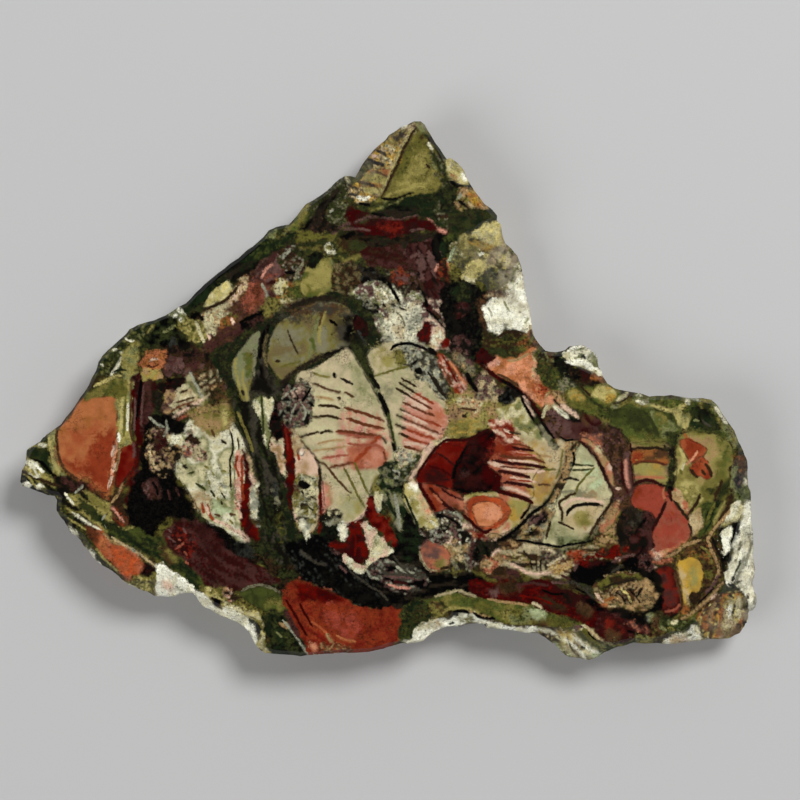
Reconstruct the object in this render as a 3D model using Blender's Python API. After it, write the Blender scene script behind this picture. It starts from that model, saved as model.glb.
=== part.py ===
"""A slab of picture jasper, lying on its sawn back with its polished face up.

The stone is one piece. A flat polished face ends in a rough natural crust, which slopes down to the
stone's outline, and rough sides with ledges fall from there to the flat sawn back. Metres, +Z up, the
origin under the middle of the stone's box, on the back. Seen from above, +Y is the top of the picture.
"""

import bmesh
import bpy
import math
import numpy as np
from mathutils import Vector, geometry, noise

THICKNESS = 0.012
PIXEL = 0.0002  # one pixel of the picture, on the stone: its 739 pixels are 148 mm
PICTURE_MIDDLE = (389.5, 391.0)  # the middle of the stone's box in the picture, in pixels

# Both outlines are in pixels of the picture, x to the right and y down, clockwise from the left tip.
STONE_OUTLINE = [
    (20, 481), (22, 470), (25, 464), (27, 450), (33, 446), (40, 441), (44, 436), (50, 432), (61, 424),
    (71, 411), (80, 397), (89, 385), (95, 371), (98, 362), (107, 350), (115, 343), (123, 337), (129, 329),
    (138, 325), (154, 320), (166, 315), (177, 308), (186, 303), (195, 293), (205, 284), (218, 273),
    (230, 264), (243, 254), (252, 246), (263, 237), (269, 230), (277, 227), (289, 224), (297, 215),
    (306, 204), (318, 197), (327, 190), (336, 182), (346, 175), (355, 176), (362, 163), (370, 153),
    (378, 145), (386, 139), (389, 134), (396, 130), (401, 126), (408, 124), (414, 121), (421, 121),
    (425, 124), (428, 130), (433, 138), (440, 148), (447, 158), (451, 157), (458, 162), (464, 170),
    (468, 180), (472, 187), (479, 196), (485, 203), (492, 209), (497, 215), (497, 220), (501, 224),
    (503, 235), (506, 243), (513, 248), (518, 255), (521, 263), (524, 275), (525, 285), (528, 300),
    (531, 313), (532, 323), (534, 336), (540, 345), (546, 350), (556, 352), (566, 350), (570, 346),
    (576, 345), (583, 344), (588, 347), (594, 352), (598, 357), (599, 367), (602, 371), (603, 377),
    (608, 383), (615, 388), (624, 390), (641, 393), (650, 396), (672, 395), (689, 398), (703, 398),
    (712, 400), (718, 405), (722, 413), (728, 421), (735, 430), (739, 440), (742, 447), (745, 455),
    (749, 460), (749, 486), (751, 491), (752, 502), (752, 520), (754, 540), (754, 555), (757, 570),
    (756, 577), (754, 584), (755, 591), (758, 596), (759, 602), (757, 610), (751, 612), (750, 620),
    (748, 626), (742, 634), (736, 636), (732, 640), (715, 640), (698, 641), (685, 643), (670, 644),
    (650, 643), (634, 643), (624, 646), (612, 649), (605, 653), (599, 657), (590, 661), (580, 659),
    (570, 658), (562, 652), (555, 645), (546, 638), (538, 633), (529, 633), (515, 631), (500, 629),
    (487, 628), (484, 624), (470, 624), (460, 627), (448, 627), (441, 629), (433, 633), (427, 638),
    (423, 642), (412, 643), (407, 644), (402, 643), (393, 646), (383, 649), (369, 652), (343, 653),
    (318, 655), (300, 656), (279, 654), (264, 653), (259, 650), (254, 643), (250, 633), (243, 626),
    (237, 622), (230, 620), (218, 615), (210, 610), (203, 607), (199, 602), (196, 597), (192, 593),
    (186, 593), (180, 594), (174, 597), (162, 597), (154, 596), (148, 592), (139, 589), (130, 585),
    (122, 581), (118, 576), (112, 571), (103, 566), (97, 562), (92, 557), (89, 551), (83, 546),
    (80, 540), (76, 536), (70, 532), (67, 526), (63, 521), (59, 515), (56, 511), (57, 500), (55, 495),
    (48, 495), (38, 491), (29, 488), (22, 486),
]
POLISHED_OUTLINE = [
    (27, 482), (27, 474), (29, 466), (30, 457), (32, 452), (38, 446), (45, 440), (52, 434), (64, 425),
    (74, 412), (83, 399), (92, 387), (98, 373), (101, 364), (110, 353), (117, 346), (126, 339),
    (132, 331), (140, 328), (155, 323), (167, 318), (179, 311), (188, 306), (197, 296), (207, 287),
    (220, 276), (232, 267), (245, 257), (254, 249), (265, 240), (271, 233), (278, 230), (291, 227),
    (299, 218), (308, 207), (319, 200), (329, 193), (338, 185), (345, 180), (349, 190), (352, 198),
    (360, 202), (371, 203), (380, 196), (387, 184), (391, 171), (398, 160), (400, 150), (406, 142),
    (411, 133), (416, 127), (420, 125), (423, 128), (426, 134), (431, 142), (438, 151), (443, 160),
    (447, 169), (450, 178), (456, 183), (463, 185), (468, 188), (475, 198), (482, 206), (489, 212),
    (492, 217), (481, 222), (474, 228), (466, 231), (459, 236), (455, 245), (450, 252), (447, 258),
    (452, 264), (460, 268), (463, 276), (470, 280), (480, 281), (486, 285), (488, 298), (483, 307),
    (486, 315), (489, 325), (495, 331), (500, 333), (508, 329), (518, 330), (527, 336), (532, 342),
    (539, 350), (546, 354), (556, 356), (562, 356), (566, 361), (574, 366), (583, 370), (592, 375),
    (599, 381), (606, 387), (613, 392), (624, 394), (641, 397), (650, 400), (672, 399), (688, 402),
    (702, 402), (710, 404), (715, 409), (719, 416), (725, 424), (731, 433), (735, 442), (738, 449),
    (737, 455), (733, 462), (732, 472), (733, 482), (736, 490), (741, 498), (742, 508), (739, 520),
    (735, 533), (731, 546), (729, 558), (726, 570), (725, 582), (722, 590), (716, 600), (708, 606),
    (700, 612), (696, 620), (690, 626), (682, 630), (672, 631), (664, 634), (655, 637), (645, 638),
    (632, 638), (622, 640), (612, 642), (604, 640), (595, 641), (588, 636), (580, 630), (574, 626),
    (566, 628), (558, 627), (549, 626), (540, 627), (530, 627), (520, 626), (508, 624), (497, 621),
    (490, 619), (478, 617), (468, 613), (460, 612), (452, 612), (448, 616), (440, 618), (430, 620),
    (420, 624), (416, 628), (412, 635), (408, 639), (402, 639), (392, 642), (382, 645), (368, 648),
    (343, 649), (318, 651), (300, 652), (280, 650), (267, 648), (262, 640), (260, 630), (257, 622),
    (250, 616), (242, 612), (232, 608), (222, 605), (212, 600), (206, 595), (198, 589), (190, 585),
    (182, 580), (174, 574), (166, 568), (160, 566), (157, 571), (156, 578), (150, 580), (141, 580),
    (133, 580), (126, 576), (121, 573), (114, 567), (106, 561), (100, 556), (96, 551), (92, 546),
    (87, 540), (84, 535), (79, 531), (74, 527), (71, 521), (67, 516), (62, 511), (61, 504), (62, 497),
    (59, 491), (50, 490), (40, 487), (31, 484),
]

# Ribs of the crust: the first and the last rib of a row, each from end to end in pixels of the
# picture, then how many there are, half a rib's width in pixels, and its height in metres.
RIB_ROWS = [
    (((352, 180), (370, 192)), ((392, 136), (404, 140)), 7, 2.6, 0.0009),
    (((730, 505), (727, 560)), ((756, 505), (752, 575)), 3, 3.4, 0.0014),
    (((738, 570), (716, 628)), ((758, 590), (736, 636)), 3, 3.6, 0.0013),
    (((652, 637), (662, 641)), ((690, 632), (704, 638)), 4, 3.0, 0.0006),
    (((545, 634), (552, 642)), ((603, 644), (598, 656)), 5, 3.0, 0.0010),
    (((490, 230), (500, 240)), ((506, 285), (524, 292)), 5, 3.4, 0.0009),
    (((408, 632), (416, 640)), ((500, 622), (502, 628)), 8, 3.0, 0.0005),
    (((128, 581), (126, 585)), ((70, 525), (66, 528)), 9, 2.6, 0.0004),
]
# Lumps and pits of the crust: the middle and half the width in pixels, and the height in metres.
LUMPS = [
    ((575, 352), 7.0, 0.0016),
    ((588, 358), 7.0, 0.0019),
    ((596, 366), 5.0, 0.0014),
    ((583, 357), 2.4, -0.0012),
    ((458, 171), 8.0, 0.0012),
    ((487, 233), 9.0, 0.0012),
    ((470, 270), 8.0, 0.0010),
    ((500, 272), 8.0, -0.0012),
    ((505, 312), 12.0, 0.0013),
    ((753, 600), 6.0, 0.0020),
    ((723, 538), 6.0, 0.0009),
    ((166, 586), 9.0, 0.0016),
    ((190, 592), 5.0, 0.0008),
    ((215, 601), 4.0, -0.0014),
    ((238, 614), 6.0, 0.0009),
    ((250, 632), 5.0, 0.0008),
    ((475, 624), 5.0, -0.0012),
    ((362, 197), 5.0, 0.0013),
    ((568, 646), 8.0, 0.0010),
    ((596, 650), 6.0, 0.0008),
    ((720, 620), 7.0, -0.0010),
]

LONGEST_EDGE = 0.0016  # along both outlines
CRUST_GRID = 0.0015  # between the crust's own points
GRID_SHAKE = 0.4  # how far noise moves those points, as a share of that
CRUST_CLEARANCE = 0.0006  # from the crust's own points to the outlines

EDGE_STEP = 0.00025  # the break at the rim of the polish
CRUST_SLOPE = 0.85
DEEPEST_CRUST = 0.0075  # below the polished face, at the outer edge of the widest crust
CRUST_LUMPS = 0.0009
LUMP_SIZE = 0.0035
SMALL_LUMP_SHARE = 0.5  # small lumps on the large ones: their height and how many times finer they are
SMALL_LUMP_FINER = 2.3

RAGGED = 0.00022  # how far noise moves the outlines
RAGGED_SIZE = 0.0017

# The sides, from the outline (0) to the back (1): a share of the height, and a share of the undercut.
# A steep stretch after a flat one makes a ledge.
SIDE_LEVELS = [(0.16, 0.10), (0.36, 0.22), (0.52, 0.55), (0.78, 0.68), (1.0, 1.0)]
UNDERCUT = 0.0016
MEAN_UNDERCUT = 0.7
UNDERCUT_CHANGE = 0.6
UNDERCUT_STEPS = 12
UNDERCUT_SMOOTHING = 0.15
LEDGE_SIZE = 0.009
LEDGE_RISE = 0.35  # how far noise moves a side ring up or down, as a share of its height
SIDE_LUMPS = 0.0009
SIDE_HOLLOW = 0.6  # how far the sides fall in between the outline and the back, in lumps

STONE_COLOUR = (0.30, 0.20, 0.13, 1.0)
STONE_ROUGHNESS = 0.45


def plan_points(outline):
    """An outline in the picture's pixels as an array of points in metres, +Y up."""
    pixels = np.array(outline, float)
    middle_x, middle_y = PICTURE_MIDDLE
    return np.column_stack([pixels[:, 0] - middle_x, middle_y - pixels[:, 1]]) * PIXEL


def subdivided(points, longest):
    """A closed outline with its corners kept and its long edges divided."""
    result = []
    for start, end in zip(points, np.roll(points, -1, axis=0)):
        pieces = max(1, math.ceil(np.linalg.norm(end - start) / longest))
        result += [start + (end - start) * k / pieces for k in range(pieces)]
    return np.array(result)


def ragged(points):
    """The points moved by one smooth noise field, so that neighbouring outlines never cross."""
    moved = []
    for x, y in points:
        shift = noise.noise_vector(Vector((x, y, 0.0)) / RAGGED_SIZE)
        moved.append((x + RAGGED * shift.x, y + RAGGED * shift.y))
    return np.array(moved)


def distances(points, outline):
    """How far each point is from a closed outline."""
    nearest = np.full(len(points), np.inf)
    for start, end in zip(outline, np.roll(outline, -1, axis=0)):
        along = end - start
        share = np.clip((points - start) @ along / (along @ along), 0.0, 1.0)
        gap = points - (start + share[:, None] * along)
        nearest = np.minimum(nearest, np.hypot(gap[:, 0], gap[:, 1]))
    return nearest


def inside(points, outline):
    """Whether each point lies within a closed outline."""
    x, y = points[:, 0], points[:, 1]
    within = np.zeros(len(points), bool)
    for (x0, y0), (x1, y1) in zip(outline, np.roll(outline, -1, axis=0)):
        if y0 == y1:
            continue
        crosses = (y0 > y) != (y1 > y)
        within ^= crosses & (x < x0 + (x1 - x0) * (y - y0) / (y1 - y0))
    return within


def crust_grid(stone, polished):
    """Points of the crust between the two outlines, on a triangular grid shaken by noise."""
    low, high = stone.min(axis=0), stone.max(axis=0)
    row_height = CRUST_GRID * math.sqrt(3) / 2
    points = []
    for row in range(int((high[1] - low[1]) / row_height) + 1):
        y = low[1] + row * row_height
        for column in range(int((high[0] - low[0]) / CRUST_GRID) + 1):
            x = low[0] + (column + 0.5 * (row % 2)) * CRUST_GRID
            shake = noise.noise_vector(Vector((x, y, 0.01)) / CRUST_GRID) * CRUST_GRID * GRID_SHAKE
            points.append((x + shake.x, y + shake.y))
    points = np.array(points)
    points = points[inside(points, stone) & ~inside(points, polished)]
    clear = np.minimum(distances(points, stone), distances(points, polished))
    return points[clear > CRUST_CLEARANCE]


def raised(points, start, end, half_width, height):
    """What one rib, lump or pit adds to the height of the crust at each point."""
    start, end = plan_points([start, end])
    along = end - start
    share = np.clip((points - start) @ along / max(along @ along, 1e-12), 0.0, 1.0)
    gap = points - (start + share[:, None] * along)
    return height * np.exp(-(gap ** 2).sum(axis=1) / (half_width * PIXEL) ** 2)


def crust_relief(points):
    """The ribs, lumps and pits of the crust, together."""
    relief = np.zeros(len(points))
    for first, last, count, half_width, height in RIB_ROWS:
        first, last = np.array(first, float), np.array(last, float)
        for k in range(count):
            start, end = first + (last - first) * k / (count - 1)
            relief += raised(points, start, end, half_width, height)
    for middle, half_width, height in LUMPS:
        relief += raised(points, middle, middle, half_width, height)
    return relief


def crust_height(points, polished):
    """The height of the crust over the back: lower the further it is from the polished face."""
    away = distances(points, polished)
    fall = DEEPEST_CRUST * (1.0 - np.exp(-CRUST_SLOPE * away / DEEPEST_CRUST))
    relief = crust_relief(points)
    heights = []
    for (x, y), down, gap, rise in zip(points, fall, away, relief):
        place = Vector((x, y, 0.0)) / LUMP_SIZE
        lump = noise.noise(place) + SMALL_LUMP_SHARE * noise.noise(place * SMALL_LUMP_FINER)
        share = min(1.0, gap / LUMP_SIZE)
        low = EDGE_STEP + down + CRUST_LUMPS * lump * share - rise
        heights.append(THICKNESS - max(EDGE_STEP, low))
    return np.array(heights)


def inward(ring):
    """The unit vector that points into the stone at each point of a clockwise outline."""
    along = np.roll(ring, -1, axis=0) - np.roll(ring, 1, axis=0)
    across = np.column_stack([along[:, 1], -along[:, 0]])
    return across / np.linalg.norm(across, axis=1)[:, None]


def undercut_ring(stone):
    """The outline of the back: the stone's outline drawn in step by step, and smoothed as it goes."""
    ring = stone.copy()
    change = np.array([noise.noise(Vector((x, y, 0.0)) / LEDGE_SIZE) for x, y in stone])
    depth = UNDERCUT * (MEAN_UNDERCUT + UNDERCUT_CHANGE * change)
    for _ in range(UNDERCUT_STEPS):
        ring = ring + inward(ring) * (depth / UNDERCUT_STEPS)[:, None]
        middle = (np.roll(ring, 1, axis=0) + np.roll(ring, -1, axis=0)) / 2
        ring = ring + UNDERCUT_SMOOTHING * (middle - ring)
    return ring


def side_rings(stone, rim_heights):
    """The rings of points down the sides, the lowest of them flat on the back."""
    back = undercut_ring(stone)
    way_in = inward(stone)
    rings = []
    for down, cut in SIDE_LEVELS:
        ring = []
        for k, (x, y) in enumerate(stone):
            ledge = noise.noise(Vector((x, y, 0.02)) / LEDGE_SIZE)
            height = rim_heights[k] * (1.0 - down) * (1.0 + LEDGE_RISE * ledge * down)
            lump = noise.noise(Vector((x, y, height)) / LUMP_SIZE)
            bulge = SIDE_LUMPS * (lump + SIDE_HOLLOW) * math.sin(math.pi * down)
            place = stone[k] + (back[k] - stone[k]) * cut + way_in[k] * bulge
            ring.append((place[0], place[1], height))
        rings.append(ring)
    return rings


def picture_jasper_slab():
    """The whole stone as one closed mesh."""
    stone = ragged(subdivided(plan_points(STONE_OUTLINE), LONGEST_EDGE))
    polished = ragged(subdivided(plan_points(POLISHED_OUTLINE), LONGEST_EDGE))
    crust = crust_grid(stone, polished)
    rim_heights = crust_height(stone, polished)

    plan = np.vstack([stone, polished, crust])
    heights = np.concatenate([
        rim_heights, np.full(len(polished), THICKNESS), crust_height(crust, polished)
    ])
    stone_edges = [(k, (k + 1) % len(stone)) for k in range(len(stone))]
    first = len(stone)
    polish_edges = [(first + k, first + (k + 1) % len(polished)) for k in range(len(polished))]
    _, _, triangles, _, _, _ = geometry.delaunay_2d_cdt(
        [Vector(point) for point in plan], stone_edges + polish_edges, [], 1, 1e-7
    )

    mesh = bmesh.new()
    top = [mesh.verts.new((x, y, z)) for (x, y), z in zip(plan, heights)]
    for triangle in triangles:
        mesh.faces.new([top[k] for k in triangle])
    above = top[: len(stone)]
    for ring in side_rings(stone, rim_heights):
        below = [mesh.verts.new(point) for point in ring]
        for k in range(len(above)):
            after = (k + 1) % len(above)
            mesh.faces.new([above[k], above[after], below[after], below[k]])
        above = below
    back = mesh.faces.new(above)
    bmesh.ops.triangulate(mesh, faces=[back], ngon_method="BEAUTY")
    bmesh.ops.recalc_face_normals(mesh, faces=mesh.faces)

    low = [min(vert.co[axis] for vert in mesh.verts) for axis in range(2)]
    high = [max(vert.co[axis] for vert in mesh.verts) for axis in range(2)]
    centre = Vector(((low[0] + high[0]) / 2, (low[1] + high[1]) / 2, 0.0))
    bmesh.ops.translate(mesh, verts=mesh.verts, vec=-centre)

    data = bpy.data.meshes.new("picture_jasper_slab")
    mesh.to_mesh(data)
    mesh.free()
    slab = bpy.data.objects.new("picture_jasper_slab", data)
    bpy.context.scene.collection.objects.link(slab)
    return slab


def stone_material():
    """A mean of the stone's colours, with the sheen of its polish."""
    material = bpy.data.materials.new("picture_jasper")
    material.use_nodes = True
    shader = material.node_tree.nodes["Principled BSDF"]
    shader.inputs["Base Color"].default_value = STONE_COLOUR
    shader.inputs["Roughness"].default_value = STONE_ROUGHNESS
    shader.inputs["Metallic"].default_value = 0.0
    return material


for thing in list(bpy.data.objects):
    bpy.data.objects.remove(thing, do_unlink=True)
picture_jasper_slab().data.materials.append(stone_material())
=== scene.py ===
# The looks of a picture jasper slab: its polished face with all its markings, its rough natural rim,
# its sawn back, and the plain studio that shows it from straight above.
import math

import bmesh
import bpy
import numpy as np
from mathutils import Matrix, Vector, geometry
from mathutils import noise as space_noise


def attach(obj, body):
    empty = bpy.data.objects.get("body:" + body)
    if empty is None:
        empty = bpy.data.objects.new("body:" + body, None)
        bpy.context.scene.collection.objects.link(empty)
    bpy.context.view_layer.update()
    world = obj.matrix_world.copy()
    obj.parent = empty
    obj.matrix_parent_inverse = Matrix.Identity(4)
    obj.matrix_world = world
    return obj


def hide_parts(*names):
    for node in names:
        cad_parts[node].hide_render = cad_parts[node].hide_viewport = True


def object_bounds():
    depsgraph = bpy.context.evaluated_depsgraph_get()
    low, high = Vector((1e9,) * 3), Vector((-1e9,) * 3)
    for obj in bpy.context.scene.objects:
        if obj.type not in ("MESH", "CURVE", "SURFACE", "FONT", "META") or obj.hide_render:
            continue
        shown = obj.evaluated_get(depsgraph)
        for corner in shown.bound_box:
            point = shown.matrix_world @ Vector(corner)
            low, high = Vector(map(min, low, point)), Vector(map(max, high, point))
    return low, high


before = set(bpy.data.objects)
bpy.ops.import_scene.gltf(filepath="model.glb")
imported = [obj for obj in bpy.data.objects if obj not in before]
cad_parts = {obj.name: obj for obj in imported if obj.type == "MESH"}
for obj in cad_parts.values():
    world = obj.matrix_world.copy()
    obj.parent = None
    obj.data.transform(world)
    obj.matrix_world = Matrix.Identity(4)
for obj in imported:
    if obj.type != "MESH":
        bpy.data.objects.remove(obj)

CAD_LOW, CAD_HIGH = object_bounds()
NODE = "picture_jasper_slab"

PIXEL = 0.0002  # metres of stone in one pixel of the photograph
STONE_MIDDLE = (389.5, 391.0)  # the middle of the stone's box in the photograph, in pixels
PHOTO_MIDDLE = (400.0, 400.0)
PHOTO_WIDTH = 800

# Colours of the stone, red, green and blue from 0 to 255.
COLOURS = {
    "black": (8, 7, 6), "soot": (26, 24, 20), "char": (44, 38, 30), "smoke": (66, 62, 52),
    "slate": (58, 60, 54), "ash": (150, 150, 130), "stone": (128, 124, 98), "beige": (164, 152, 118),
    "pine": (32, 42, 26), "moss": (54, 58, 32), "fern": (72, 78, 38), "leaf": (84, 92, 44),
    "olive": (100, 96, 46), "khaki": (120, 112, 60), "sage": (120, 122, 80), "mint": (180, 190, 150),
    "straw": (150, 140, 82), "butter": (180, 168, 108), "cream": (198, 190, 150),
    "bone": (218, 214, 186), "ivory": (244, 242, 220), "dun": (112, 100, 68),
    "mustard": (168, 138, 66), "tan": (160, 132, 92), "sand": (186, 166, 126),
    "orange": (172, 108, 68), "amber": (150, 96, 52), "flame": (184, 84, 44),
    "terracotta": (158, 84, 52), "clay": (172, 106, 78), "rust": (142, 64, 38), "brick": (128, 54, 32),
    "red": (112, 36, 26), "crimson": (96, 20, 14), "blood": (62, 10, 8), "maroon": (54, 24, 22),
    "plum": (74, 46, 42), "mauve": (100, 74, 68), "brown": (84, 60, 40), "umber": (56, 42, 28),
    "salmon": (200, 134, 94), "peach": (208, 146, 112), "pink": (196, 140, 120),
    "blush": (210, 180, 156), "linen": (190, 176, 142), "celadon": (165, 160, 122),
    "lichen": (124, 128, 92), "coral": (188, 130, 106), "dusk": (150, 86, 66), "sienna": (100, 56, 36),
    "garnet": (150, 70, 54), "primrose": (212, 198, 128), "gold": (188, 152, 62),
}

# How a patch looks inside and at its edge, lengths in pixels: the size of the drift between its colours,
# its contrast, how soft its edge is, how far the edge wanders, and how thick dark flecks, light flecks and
# grain lie in it, from 0 to 1. A patch without flecks of its own leaves those below it as they are.
STYLES = {
    "crisp": (9.0, 1.0, 0.7, 1.8, (0.2, 0.1, 0.7)),
    "plain": (7.0, 1.2, 1.3, 2.8, (0.3, 0.2, 0.9)),
    "smooth": (12.0, 0.9, 0.9, 1.0, (0.0, 0.0, 0.35)),
    "mottled": (4.5, 1.9, 1.8, 3.4, (0.6, 0.4, 1.0)),
    "streaked": (4.0, 1.7, 1.3, 2.4, (0.35, 0.2, 0.9)),
    "specked": (12.0, 0.8, 0.6, 1.2, (0.3, 0.0, 0.5)),
    "soft": (8.0, 1.1, 3.0, 2.5, None),
    "hazy": (10.0, 1.0, 6.0, 3.0, None),
}
STRETCH = 3.5  # how much longer than wide the streaks of a streaked patch are
GROUND = ("moss umber olive", 12.0, 1.0, 1)  # colours, size and contrast of the lowest layer, and its seed
GROUND_FLECKS = STYLES["mottled"][-1]

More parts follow.
